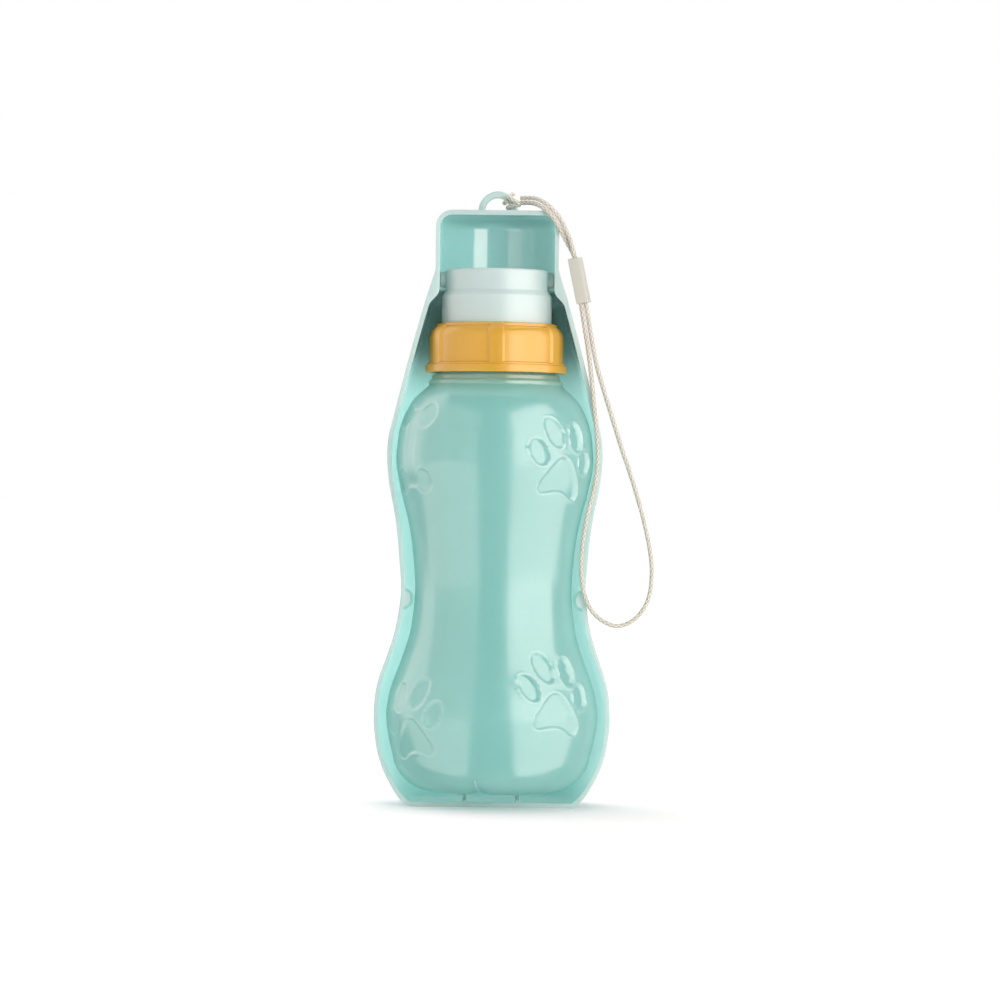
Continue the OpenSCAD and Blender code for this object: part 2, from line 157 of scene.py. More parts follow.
def roundedLine(points, closed=True, steps=4):  # a third number at a point rounds its corner
    line = []
    count = len(points)
    for i, p in enumerate(points):
        x, y = p[0], p[1]
        radius = p[2] if len(p) > 2 else 0
        if not radius or (not closed and i in (0, count - 1)):
            line.append((x, y))
            continue
        corner = np.array([x, y])
        before = np.array(points[i - 1][:2]) - corner
        after = np.array(points[(i + 1) % count][:2]) - corner
        before /= np.linalg.norm(before)
        after /= np.linalg.norm(after)
        half = math.acos(max(-1, min(1, float(before @ after)))) / 2
        reach = radius / math.tan(half)
        inwards = (before + after) / np.linalg.norm(before + after)
        middle = corner + inwards * radius / math.sin(half)
        a, b = corner + before * reach - middle, corner + after * reach - middle
        turn = math.atan2(a[0] * b[1] - a[1] * b[0], float(a @ b))
        for k in range(steps + 1):
            s, c = math.sin(turn * k / steps), math.cos(turn * k / steps)
            line.append(tuple(middle + np.array([a[0] * c - a[1] * s, a[0] * s + a[1] * c])))
    return line


def normalsOut():  # these two work in edit mode
    bpy.ops.mesh.select_all(action="SELECT")
    bpy.ops.mesh.normals_make_consistent(inside=False)


def faceOutwards(piece):  # a closed shell, checked by its volume
    normalsOut()
    if bmesh.from_edit_mesh(piece.data).calc_volume(signed=True) < 0:
        bpy.ops.mesh.flip_normals()


def spinLine(name, line, spans, start=0.0, closed=True):  # turns a half outline round Z
    count = len(line)
    edges = [(i, i + 1) for i in range(count - 1)] + ([(count - 1, 0)] if closed else [])
    c, s = math.cos(start), math.sin(start)
    piece = meshPiece(name, [(r * mm * c, r * mm * s, z * mm) for r, z in line], [], edges)
    editAll()
    for steps, angle in spans:
        bpy.ops.mesh.spin(steps=steps, angle=angle, center=(0, 0, 0), axis=(0, 0, 1))
    bpy.ops.mesh.select_all(action="SELECT")
    bpy.ops.mesh.remove_doubles(threshold=mergeGap)
    faceOutwards(piece)
    leaveEdit()
    return piece


def selectFaces(piece, test):
    bpy.ops.object.mode_set(mode="EDIT")
    bpy.ops.mesh.select_mode(type="FACE")
    bpy.ops.mesh.select_all(action="DESELECT")
    grid = bmesh.from_edit_mesh(piece.data)
    for face in grid.faces:
        face.select_set(bool(test(face)))
    bmesh.update_edit_mesh(piece.data)


def makeSeam(name, line, height, width, angle, root=0.3):  # a line the mould's halves leave
    line = np.array(line)
    along = directions(line)
    out = np.stack([along[:, 1], -along[:, 0]], 1)
    loop = list(line + out * height) + list((line - out * root)[::-1])
    count = len(loop)
    points = [(side * width / 2 * mm, -r * mm, z * mm) for side in (-1, 1) for r, z in loop]
    faces = [(i, (i + 1) % count, (i + 1) % count + count, i + count) for i in range(count)]
    strips = [(i, i + 1, count - 2 - i, count - 1 - i) for i in range(len(line) - 1)]
    faces += strips + [tuple(k + count for k in one[::-1]) for one in strips]
    piece = meshPiece(name, points, faces)
    bpy.ops.object.mode_set(mode="EDIT")
    faceOutwards(piece)
    leaveEdit()
    piece.data.transform(Matrix.Rotation(math.radians(angle), 4, "Z"))
    return piece


def makeBox(size, place):
    deselectAll()
    bpy.ops.mesh.primitive_cube_add(size=1, location=[v * mm for v in place])
    piece = bpy.context.object
    piece.scale = [v * mm for v in size]
    placeInMesh(piece)
    return piece


def makeBar(radius, length, x, z, sides):  # a round bar from left to right
    deselectAll()
    bpy.ops.mesh.primitive_cylinder_add(
        vertices=sides, radius=radius * mm, depth=length * mm, location=(x * mm, 0, z * mm),
        rotation=(0, math.radians(90), 0))
    return bpy.context.object


def meshPoints(piece):
    co = np.empty(len(piece.data.vertices) * 3)
    piece.data.vertices.foreach_get("co", co)
    return co.reshape(-1, 3) / mm


def setPoints(piece, co):
    piece.data.vertices.foreach_set("co", (co * mm).ravel())
    piece.data.update()


def setRadius(piece, co, radius):
    old = np.maximum(np.hypot(co[:, 0], co[:, 1]), 1e-6)
    co[:, :2] *= (radius / old)[:, None]
    setPoints(piece, co)


def joinPieces(keep, others):
    makeActive(keep)
    for one in others:
        one.select_set(True)
    bpy.ops.object.join()
    return keep


# node helper: adds one node, sets what is plain and links what is a socket
def addNode(tree, kind, inputs=None, **settings):
    node = tree.nodes.new(kind)
    for key, value in settings.items():
        setattr(node, key, value)
    for key, value in (inputs or {}).items():
        if isinstance(value, bpy.types.NodeSocket):
            tree.links.new(value, node.inputs[key])
        else:
            node.inputs[key].default_value = value
    return node


def startMaterial(name):
    material = bpy.data.materials.new(name)
    material.use_nodes = True
    return material, material.node_tree, material.node_tree.nodes["Principled BSDF"]


def linkTo(tree, shader, key, output):
    tree.links.new(output, shader.inputs[key])


# camera, level and far away: millimetres and degrees
cameraSettings = {"x": 2.32, "distance": 1780, "height": 126.8, "lens": 154.66, "sensor": 36,
                  "roll": 0.716}


def addCamera(s):
    deselectAll()
    bpy.ops.object.camera_add(location=(s["x"] * mm, -s["distance"] * mm, s["height"] * mm))
    camera = bpy.context.object
    camera.data.lens = s["lens"]
    camera.data.sensor_width = s["sensor"]
    upright = Matrix.Rotation(math.radians(90), 3, "X")
    camera.rotation_euler = (upright @ Matrix.Rotation(math.radians(s["roll"]), 3, "Z")).to_euler()
    scene.camera = camera


addCamera(cameraSettings)
print("camera done")


# materials

patterns = {"flowMarks": 33.0, "mouldGrain": 2000.0, "fibres": 2600.0}  # to a metre
plainPlastic = {"gloss": 0.5, "coat": 0.0, "coatRoughness": 0.2, "coatIor": 1.6,
                "flowStretch": 0.35, "grainBump": 0.12, "grainHeight": 0.02,
                "smoothest": 0.9, "roughest": 1.12}
# polypropylene, moulded in a polished mould: see-through, with sharper highlights
troughPlastic = {"color": "#9ed4d0", "deep": "#94cdc8", "through": 0.7, "glow": "#d4f0ed",
                 "roughness": 0.13, "grain": 0.3, "ior": 1.49, "gloss": 0.9, "coat": 0.8,
                 "coatRoughness": 0.05}
plastics = {
    # low density polyethylene, blown: milky, light comes through it, soft wide highlights; it is
    # painted paler where it is seen slantwise and at its foot, partly its milkiness and partly
    # painted light that brightens the edges the trough's close wall leaves dim; the pressed
    # outlines carry a painted highlight, and the neck under the ring is painted amber, the ring's
    # warm light on it
    "bottle": {"name": "blownPolyethylene", "color": "#a8dbd6", "deep": "#a0d5cf",
               "through": 0.55, "glow": "#d8f5f2", "roughness": 0.24, "grain": 0.25, "ior": 1.52,
               "gloss": 1.0, "coat": 1.0, "coatRoughness": 0.18, "hazeAndEdgeLight": "#ceeeea",
               "hazeFrom": 0.27, "hazeTo": 0.72, "hazeCoat": 0.1, "pale": "#eefbf9",
               "neck": "#b3b795", "ringGlowZone": (0.1725, 0.1785),
               "zones": {"base": (0.007, 0.021, 0.9, 0.0)}},
    "trough": {**troughPlastic, "name": "mouldedPolypropylene"},
    # its inner faces, painted shade: deep green behind the ring where little light gets, deeper
    # teal at the foot under the bottle; the inside of the head is a deeper tone
    "troughShadedInside": {**troughPlastic, "name": "polypropylenePaintedShade",
                   "zones": {"foot": (0.005, 0.016, 0.9, 0.0), "head": (0.2125, 0.2165, 0.0, 1.0),
                             "overRing": (0.166, 0.19, 0.0, 1.0),
                             "underHead": (0.2125, 0.2165, 1.0, 0.0)},
                   "tones": (("foot", "#22cec6", 0.42), ("head", "#82b9b6", 0.3),
                             ("shadeBehindRing", "#478679", 0.04))},
    # the same plastic painted paler as painted light, on the trimmed rim, the hang loop and the
    # rib tops, where the edges gather light
    "troughLitEdge": {"name": "polypropylenePaintedLight", "color": "#dcebe7", "deep": "#d2e4df",
                   "through": 0.3, "glow": "#dcf0ec", "roughness": 0.35, "grain": 0.3,
                   "ior": 1.49},
    # polypropylene coloured in the melt, satin mould: solid amber, no light comes through
    "ring": {"name": "satinPolypropylene", "color": "#dfaa3e", "deep": "#d9a438", "through": 0.0,
             "roughness": 0.26, "grain": 0.2, "ior": 1.52},
    # milky polypropylene, satin mould: nearly white, soft at its edges
    "collar": {"name": "milkyPolypropylene", "color": "#dbedea", "deep": "#d3e5e1",
               "through": 0.2, "glow": "#dcf0ec", "roughness": 0.4, "grain": 0.25, "ior": 1.5,
               "gloss": 0.65},
    # acetal, moulded: off-white and a little waxy
    "clamp": {"name": "mouldedAcetal", "color": "#dddccf", "deep": "#d4d3c5", "through": 0.1,
              "glow": "#e0dfd4", "roughness": 0.38, "grain": 0.2, "ior": 1.48},
    # silicone rubber, moulded: clear to white, dull
    "silicone": {"name": "mouldedSilicone", "color": "#e6ebe7", "deep": "#dbe3de",
                 "through": 0.4, "glow": "#e6ebe7", "roughness": 0.42, "grain": 0.3, "ior": 1.41},
}


def makePlastic(s):
    material, tree, shader = startMaterial(s["name"])
    place = addNode(tree, "ShaderNodeTexCoord").outputs["Object"]
    # flow marks of the melt, about 30 mm across, stretched along the height
    stretch = addNode(tree, "ShaderNodeMapping", {
        "Vector": place, "Scale": (1.0, 1.0, s["flowStretch"])})
    flow = addNode(tree, "ShaderNodeTexNoise", {
        "Vector": stretch.outputs["Vector"], "Scale": patterns["flowMarks"], "Detail": 2.0,
        "Roughness": 0.4}).outputs["Fac"]
    colour = addNode(tree, "ShaderNodeMix", {
        0: flow, 6: hexColor(s["color"]), 7: hexColor(s["deep"])}, data_type="RGBA").outputs[2]
    through = s["through"]
    zones = {}
    if "zones" in s:  # along the height in metres: from, to, share below, share above
        height = addNode(tree, "ShaderNodeSeparateXYZ", {"Vector": place}).outputs["Z"]
        for zone, (low, high, below, above) in s["zones"].items():
            zones[zone] = addNode(tree, "ShaderNodeMapRange", {
                "Value": height, "From Min": low, "From Max": high, "To Min": below,
                "To Max": above}, interpolation_type="SMOOTHSTEP").outputs["Result"]
    # painted shade behind the ring, between the ring's height and the head
    if "underHead" in zones:
        zones["shadeBehindRing"] = addNode(tree, "ShaderNodeMath", {
            0: zones["overRing"], 1: zones["underHead"]}, operation="MULTIPLY").outputs[0]
    # each painted zone mixes in its colour and lets less light through
    for zone, tone, goal in s.get("tones", ()):
        colour = addNode(tree, "ShaderNodeMix", {0: zones[zone], 6: colour, 7: hexColor(tone)},
                         data_type="RGBA").outputs[2]
        through = addNode(tree, "ShaderNodeMix", {0: zones[zone], 2: through, 3: goal},
                          data_type="FLOAT").outputs[0]
    if "hazeAndEdgeLight" in s:
        # painted light: paler colour and less coat where the surface is seen slantwise and at the
        # foot
        slant = addNode(tree, "ShaderNodeLayerWeight", {"Blend": 0.5}).outputs["Facing"]
        edge = addNode(tree, "ShaderNodeMapRange", {
            "Value": slant, "From Min": s["hazeFrom"], "From Max": s["hazeTo"]},
            interpolation_type="SMOOTHSTEP").outputs["Result"]
        edge = addNode(tree, "ShaderNodeMath", {0: edge, 1: zones["base"]},
                       operation="MAXIMUM").outputs[0]
        linkTo(tree, shader, "Coat Weight", addNode(tree, "ShaderNodeMix", {
            0: edge, 2: s["coat"], 3: s["hazeCoat"]}, data_type="FLOAT").outputs[0])
        # painted highlight: the pressed outlines and the pinch ridge are painted paler, as their
        # lips catch the light, partly also the whitening of stretched polyethylene
        line = addNode(tree, "ShaderNodeAttribute", attribute_name="pressHighlight").outputs["Fac"]
        # painted light: the neck under the ring is painted amber, the ring's warm light on it
        near = addNode(tree, "ShaderNodeMapRange", {
            "Value": height, "From Min": s["ringGlowZone"][0],
            "From Max": s["ringGlowZone"][1]}).outputs["Result"]
        for share, tone in ((edge, "hazeAndEdgeLight"), (line, "pale"), (near, "neck")):
            colour = addNode(tree, "ShaderNodeMix", {0: share, 6: colour, 7: hexColor(s[tone])},
                             data_type="RGBA").outputs[2]
    else:
        shader.inputs["Coat Weight"].default_value = s["coat"]
    linkTo(tree, shader, "Base Color", colour)
    # the mould's fine satin grain, about 0.5 mm
    grain = addNode(tree, "ShaderNodeTexNoise", {
        "Vector": place, "Scale": patterns["mouldGrain"], "Detail": 1.0}).outputs["Fac"]
    bump = addNode(tree, "ShaderNodeBump", {
        "Height": grain, "Strength": s["grain"] * s["grainBump"],
        "Distance": s["grainHeight"] * mm})
    linkTo(tree, shader, "Normal", bump.outputs["Normal"])
    worn = addNode(tree, "ShaderNodeMapRange", {
        "Value": flow, "To Min": s["roughness"] * s["smoothest"],
        "To Max": s["roughness"] * s["roughest"]})
    linkTo(tree, shader, "Roughness", worn.outputs["Result"])
    for socket, value in (("IOR", s["ior"]), ("Specular IOR Level", s["gloss"]),
                          ("Coat Roughness", s["coatRoughness"]), ("Coat IOR", s["coatIor"])):
        shader.inputs[socket].default_value = value
    if s["through"]:  # part of the light that falls on one side of the thin wall leaves the other
        sheet = addNode(tree, "ShaderNodeBsdfTranslucent", {"Color": hexColor(s["glow"])})
        mixed = addNode(tree, "ShaderNodeMixShader", {
            0: through, 1: shader.outputs[0], 2: sheet.outputs[0]})
        tree.links.new(mixed.outputs[0], tree.nodes["Material Output"].inputs["Surface"])
    return material


# polyester cord, braided: matt, off-white stitches with painted grey-brown shade in the grooves
# between them
cordLook = {"name": "braidedPolyesterCord", "light": "#e8e4d8", "dark": "#dcd7c8",
            "grooveShade": "#a49e8f", "grooveEnd": 0.75, "bump": 0.4, "fibreHeight": 0.05,
            "roughness": 0.8, "sheen": 0.3}


def makeCordMaterial(s):
    material, tree, shader = startMaterial(s["name"])
    grooveShade = addNode(tree, "ShaderNodeAttribute", attribute_name="stitch").outputs["Fac"]
    place = addNode(tree, "ShaderNodeTexCoord").outputs["Object"]
    fibre = addNode(tree, "ShaderNodeTexNoise", {  # about 0.4 mm, coarser than real fibres
        "Vector": place, "Scale": patterns["fibres"], "Detail": 2.0}).outputs["Fac"]
    light = addNode(tree, "ShaderNodeMix", {
        0: fibre, 6: hexColor(s["light"]), 7: hexColor(s["dark"])}, data_type="RGBA")
    # painted shade darkens the cord in the grooves between the stitches
    shade = addNode(tree, "ShaderNodeMapRange", {"Value": grooveShade, "From Max": s["grooveEnd"]})
    tint = addNode(tree, "ShaderNodeMix", {
        0: shade.outputs["Result"], 6: hexColor(s["grooveShade"]), 7: light.outputs[2]},
        data_type="RGBA")
    linkTo(tree, shader, "Base Color", tint.outputs[2])
    bump = addNode(tree, "ShaderNodeBump", {
        "Height": fibre, "Strength": s["bump"], "Distance": s["fibreHeight"] * mm})
    linkTo(tree, shader, "Normal", bump.outputs["Normal"])
    shader.inputs["Roughness"].default_value = s["roughness"]
    shader.inputs["Sheen Weight"].default_value = s["sheen"]
    return material


finishes = {key: makePlastic({**plainPlastic, **s}) for key, s in plastics.items()}
finishes["cord"] = makeCordMaterial(cordLook)
print("materials done")


# lanyard: one 2 mm cord, from the hitch through the clamp, round the wrist loop and back

lanyard = {"diameter": 1.9, "stitches": 4, "stitchPitch": 2.3, "stitchDepth": 0.12, "sides": 20,
           "ring": 0.3, "walkSteps": 40, "smooth": 60}
front = -11  # most of the cord hangs in one plane before the trough's rim
lanyardRoute = [
    (9.5, -1.2, 251.9), (12.2, -3, 252), (15.5, -6, 251.5), (18.6, -9.6, 249.9),
    (22, -10.8, 247.2), (25.6, front, 243), (29.6, -11.8, 234.8),
    (31.9, -12, 226.8), (34.5, -11.7, 217.6), (36.7, front, 208), (40.7, front, 186),
    (44.5, front, 172.5), (48.4, front, 160.3), (52.4, front, 148), (56.7, front, 135.7),
    (60.8, front, 122), (64, front, 108.5), (65.2, front, 97), (63.6, front, 86),
    (58.4, front, 78.4), (51.3, front, 75.5), (44.8, front, 77.8), (40, front, 82.8),
    (37, front, 90.8), (36.1, front, 101), (36.9, front, 112), (38.7, front, 122.5),
    (41.2, front, 133), (42.4, front, 144), (41.7, front, 156), (40.4, front, 168),
    (38.3, front, 186), (34.7, front, 207.6), (33.1, -10.3, 217.4), (31.9, -10, 226.8),
    (28.3, -10.2, 233.8), (23.9, front, 241.8), (20.6, -10.8, 245.8), (17.6, -9.6, 248),
    (15, -6, 249.4), (12, -3, 249.9), (9.3, -1.2, 249.9),
]


def curveThrough(points, step, fine):  # an even walk along a smooth curve through the points
    p = [np.array(q, float) for q in points]
    dense = []
    for i in range(len(p) - 1):
        near = p[max(0, i - 1)], p[i], p[i + 1], p[min(len(p) - 1, i + 2)]
        dense += [splinePoint(*near, t) for t in np.linspace(0, 1, fine, endpoint=False)]
    dense = np.array(dense + [p[-1]])
    walked = np.concatenate([[0], np.cumsum(np.linalg.norm(np.diff(dense, axis=0), axis=1))])
    stops = np.linspace(0, walked[-1], max(2, int(round(walked[-1] / step)) + 1))
    return np.stack([np.interp(stops, walked, dense[:, k]) for k in range(3)], 1), walked[-1]


def braidedCord(name, points, s):  # stitches stand up in staggered rows
    path, length = curveThrough(points, s["ring"], s["walkSteps"])
    count, sides = len(path), s["sides"]
    along = directions(path)
    side = np.cross(along[0], (0.0, 1.0, 0.0))
    rings, ridges = [], []
    for i in range(count):
        side = side - along[i] * (side @ along[i])
        side /= np.linalg.norm(side)
        other = np.cross(along[i], side)
        lengthwise = math.cos(math.tau * length * i / (count - 1) / s["stitchPitch"])
        for j in range(sides):
            a = math.tau * j / sides
            ridge = 0.5 + 0.5 * math.cos(s["stitches"] * a) * lengthwise
            r = s["diameter"] / 2 * (1 - s["stitchDepth"] * (1 - ridge) ** 1.5)
            rings.append((path[i] + r * (math.cos(a) * side + math.sin(a) * other)) * mm)
            ridges.append(ridge)
    faces = [(i * sides + j, i * sides + (j + 1) % sides, (i + 1) * sides + (j + 1) % sides,
              (i + 1) * sides + j) for i in range(count - 1) for j in range(sides)]
    faces += [tuple(range(sides))[::-1], tuple((count - 1) * sides + j for j in range(sides))]
    piece = meshPiece(name, rings, faces)
    piece.data.attributes.new("stitch", "FLOAT", "POINT").data.foreach_set(
        "value", np.array(ridges, np.float32))
    smoothShade(piece, s["smooth"])
    return piece, path, length


lanyardPiece, lanyardPath, lanyardLength = braidedCord("lanyardCord", lanyardRoute, lanyard)
finishPiece(lanyardPiece, "trough_body", [finishes["cord"]], "lanyard_cord")
print("lanyard cord", round(lanyardLength, 1), "mm long")


# bottle: blow-moulded, turned from one outline, with the ornaments pressed in

# more steps in front, where the ornaments are
bottle = {
    "bulge": 43.75, "waist": 32.4, "shoulder": 40.8, "wall": 1.6, "foot": 6.3, "baseRadius": 24,
    "baseRound": 17, "pushUp": 3, "neck": 24.4, "neckWall": 2.0, "mouth": 195,
    "frontAngle": 168, "frontSteps": 168, "backSteps": 44, "smooth": 50,
}
sideStart = bottle["foot"] + bottle["baseRound"] * 0.81
beadHeight, beadRadius = 174.2, 27.8
bulge, waist, shoulder = bottle["bulge"], bottle["waist"], bottle["shoulder"]
bottleOutline = [  # height, radius
    (sideStart, bottle["baseRadius"] + bottle["baseRound"] * 0.98), (31, bulge - 0.65),
    (37.6, bulge), (46.4, bulge - 1.2), (52.4, bulge - 3.05), (62, waist + 4.8),
    (74, waist + 1.4), (90, waist), (107, waist + 1.3), (118.5, waist + 3.3),
    (131, shoulder - 1.9), (143.5, shoulder), (153.3, shoulder - 0.8), (159.7, shoulder - 2.5),
    (167.6, shoulder - 6.6), (beadHeight, beadRadius - 0.4)]


def bottleRadius(z):
    return curveAt(bottleOutline, z)


def baseRoundPoint(a, s):  # on the round between the base and the side, a up from its middle
    return (s["baseRadius"] + s["baseRound"] * math.cos(a),
            s["foot"] + s["baseRound"] * (1 + math.sin(a)))


def bottleSide(heights, domeSteps, roundSteps, s):
    dome = [(s["baseRadius"] * t, s["foot"] + s["pushUp"] * math.cos(math.pi / 2 * t))
            for t in np.linspace(0, 1, domeSteps, endpoint=False)]
    base = [baseRoundPoint(a, s) for a in np.radians(np.linspace(-90, -11, roundSteps))]
    return dome + base + [(bottleRadius(z), z) for z in heights]


def besideLine(line, distance):  # moved sideways by its own normals, outwards where positive
    along = directions(line)
    moved = np.array(line) + distance * np.stack([along[:, 1], -along[:, 0]], 1)
    moved[0] = (0, line[0][1] - distance)
    return [(max(0.0, r), z) for r, z in moved]


# toes: across, up, half-width, half-height, lean; the pad's outline is drawn point by point
pawToes = [(-11.8, 11.1, 4.2, 6.2, 26), (-3.7, 19, 4.4, 7, 26), (9, 17.2, 4.5, 6.4, 6),
           (15, 7, 4.9, 5.6, 0)]
pawPad = [(0.5, 9.3), (3, 8.4), (6, 5.2), (9, 0.9), (11.3, -3), (11.7, -6.2), (10.6, -8.4),
          (9, -9), (6.6, -8.2), (3.4, -6.3), (0, -5.3), (-4, -5.2), (-7.2, -5.8), (-9.4, -5.9),
          (-11, -5), (-11.5, -3), (-10.6, -0.2), (-8, 3.2), (-5, 6.6), (-2, 9)]
# angle from the front, height, side that it is mirrored to, strength
pawPlaces = [(38, 39.5, 1, 1.0), (43.3, 135.4, 1, 1.0), (-49.3, 28.3, -1, 0.45)]
bonePlace = (-60, 147.7, 0.45)
pressing = {"depth": 1.15, "slopeWidth": 1.15, "hollow": 0.2, "hollowWidth": 4.3, "lip": 0.3,
            "lipWidth": 0.48, "pale": 0.65, "paleWidth": 0.38, "paleShift": 0.15, "far": 1e3,
            "skin": 0.35, "margin": 4, "finerInside": 1.35, "finerOutside": 0.9}


def closedCurve(points, count):
    p = np.array(points, float)
    n = len(p)
    return np.array([splinePoint(p[i - 1], p[i], p[(i + 1) % n], p[(i + 2) % n], t)
                     for i in range(n) for t in np.linspace(0, 1, count, endpoint=False)])


def insideDistance(u, v, outline):  # positive inside the outline, negative outside
    points = np.stack([u, v], 1)
    nearest = np.full(len(points), 1e9)
    inside = np.zeros(len(points), bool)
    for a, b in zip(outline, np.roll(outline, -1, axis=0)):
        ab = b - a
        t = np.clip(((points - a) @ ab) / (ab @ ab), 0, 1)
        nearest = np.minimum(nearest, np.linalg.norm(points - a - t[:, None] * ab, axis=1))
        crosses = (a[1] > v) != (b[1] > v)
        if abs(b[1] - a[1]) > 1e-9:
            inside ^= crosses & (u < (b[0] - a[0]) * (v - a[1]) / (b[1] - a[1]) + a[0])
    return np.where(inside, nearest, -nearest)


def ovalOutline(u, v, a, b, lean):
    t = np.linspace(0, math.tau, 48, endpoint=False)
    c, s = math.cos(math.radians(lean)), math.sin(math.radians(lean))
    return np.stack([u + a * np.cos(t) * c - b * np.sin(t) * s,
                     v + a * np.cos(t) * s + b * np.sin(t) * c], 1)


def boneOutline(knob=5.3):  # two knobs at each end of a straight shaft
    arcs = [(8.4, 13.3, -148, 150), (-8.4, 13.3, 30, 328), (-8.4, -13.3, 32, 330),
            (8.4, -13.3, 210, 508)]
    return np.array([(u + knob * math.cos(a), v + knob * math.sin(a)) for u, v, first, last in arcs
                     for a in np.radians(np.linspace(first, last, 16))])


def ornamentShapes():  # centre angle, centre height, outline, side, strength
    shapes = [(bonePlace[0], bonePlace[1], boneOutline(), 1, bonePlace[2])]
    pawOutlines = [closedCurve(pawPad, 4)] + [ovalOutline(*toe) for toe in pawToes]
    for angle, height, side, strength in pawPlaces:
        shapes += [(angle, height, outline, side, strength) for outline in pawOutlines]
    return shapes


def ornamentField(co):  # distance to the nearest outline, and how deep that place is pressed
    angle = np.degrees(np.arctan2(co[:, 0], -co[:, 1]))
    radius = np.hypot(co[:, 0], co[:, 1])
    own = np.array([bottleRadius(z) if sideStart <= z <= beadHeight else pressing["far"]
                    for z in co[:, 2]])
    outer = np.abs(radius - own) < pressing["skin"]
    edge = np.full(len(co), pressing["far"])
    depth = np.zeros(len(co))
    for centreAngle, centreHeight, outline, side, strength in ornamentShapes():
        u = side * np.radians(angle - centreAngle) * np.where(outer, own, 0)
        v = co[:, 2] - centreHeight
        low, high = outline.min(0) - pressing["margin"], outline.max(0) + pressing["margin"]
        found = np.flatnonzero(outer & (u > low[0]) & (u < high[0]) & (v > low[1]) & (v < high[1]))
        distance = insideDistance(u[found], v[found], outline)
        edge[found] = np.where(np.abs(distance) < np.abs(edge[found]), distance, edge[found])
        t = np.clip(distance / pressing["slopeWidth"], 0, 1)
        k = np.clip(distance / pressing["hollowWidth"], 0, 1)
        sunk = strength * (pressing["depth"] * easeInOut(t) + pressing["hollow"] * k * (2 - k))
        lip = pressing["lip"] * strength * np.exp(
            -((distance + pressing["lipWidth"]) / pressing["lipWidth"]) ** 2)
        depth[found] += sunk - lip
    return edge, depth, np.where(outer, own, radius)


def setPressHighlight(piece, values):
    layer = piece.data.attributes.new("pressHighlight", "FLOAT", "POINT")
    layer.data.foreach_set("value", values.astype(np.float32))


def pressOrnaments(piece):
    # the mesh is made finer along the outlines, then pressed in
    edge = ornamentField(meshPoints(piece))[0]

    def byOutline(face):  # corners far from every outline count for neither side
        near = [edge[v.index] for v in face.verts if edge[v.index] < pressing["far"]]
        return (near and min(near) < pressing["finerInside"]
                and max(near) > -pressing["finerOutside"])

    makeActive(piece)
    selectFaces(piece, byOutline)
    bpy.ops.mesh.subdivide(number_cuts=2)
    leaveEdit()
    co = meshPoints(piece)
    edge, depth, own = ornamentField(co)
    setRadius(piece, co, own - depth)
    away = (edge + pressing["paleShift"]) / pressing["paleWidth"]
    # painted highlight: a pale line along each outline's lip
    setPressHighlight(piece, pressing["pale"] * np.exp(-away ** 2))


# the base is drawn up where the mould pinched the tube off, with the cut's ridge in the notch
pinchOff = {"angle": -10.2, "halfWidth": 4.3, "lift": 1.35, "from": 15, "growth": 6, "below": 15,
            "fade": 7, "ridge": 0.6, "thick": 0.6, "pale": 0.9}


def drawUp(piece, s):
    co = meshPoints(piece)
    a = math.radians(s["angle"])
    along = co[:, 0] * math.sin(a) - co[:, 1] * math.cos(a)
    across = co[:, 0] * math.cos(a) + co[:, 1] * math.sin(a)
    window = np.cos(np.clip(np.abs(across) / s["halfWidth"], 0, 1) * math.pi / 2) ** 2
    co[:, 2] += (s["lift"] * window * np.clip((along - s["from"]) / s["growth"], 0, 1)
                 * np.clip((s["below"] - co[:, 2]) / s["fade"], 0, 1))
    setPoints(piece, co)


def makePinchRidge(s, b):
    line = [baseRoundPoint(a, b) for a in np.radians(np.linspace(-78, -42, 16))]
    ridge = makeSeam("pinchRidge", line, s["ridge"], s["thick"], s["angle"])
    # painted highlight: the whole ridge is painted pale
    setPressHighlight(ridge, np.full(len(ridge.data.vertices), s["pale"]))
    return ridge


def makeBottle(s):
    heights = np.concatenate([
        np.arange(sideStart + 0.75, 62, 0.75), np.arange(62.5, 118, 1.8),
        np.arange(119, 167.5, 0.75), np.linspace(168, beadHeight, 8)])
    inner = s["neck"] - s["neckWall"]
    neckLine = roundedLine([
        (beadRadius - 0.4, beadHeight - 0.02), (beadRadius, beadHeight + 0.3, 0.3),
        (beadRadius, 175.7, 0.9), (26.5, 176.6, 0.6), (26.3, 178.3, 0.5), (s["neck"], 178.8, 0.3),
        (s["neck"], s["mouth"], 0.5), (inner, s["mouth"], 0.5), (inner, 176.5, 1.0),
        (inner + 3, 173.6)], closed=False, steps=3)[1:-1]
    innerSide = besideLine(bottleSide(np.linspace(sideStart + 3, 171, 52), 6, 9, s), -s["wall"])
    half = math.radians(s["frontAngle"] / 2)
    piece = spinLine("bottleShell", bottleSide(heights, 10, 20, s) + neckLine + innerSide[::-1],
                     [(s["frontSteps"], 2 * half), (s["backSteps"], math.tau - 2 * half)],
                     start=-math.pi / 2 - half, closed=False)
    pressOrnaments(piece)
    piece = joinPieces(piece, [makePinchRidge(pinchOff, s)])
    drawUp(piece, pinchOff)
    smoothShade(piece, s["smooth"])
    return piece


bottlePiece = makeBottle(bottle)
finishPiece(bottlePiece, "bottle_body", [finishes["bottle"]], "bottle")
print("bottle", len(bottlePiece.data.polygons))


# trough: an open shell lofted level by level, its rim in one flat plane

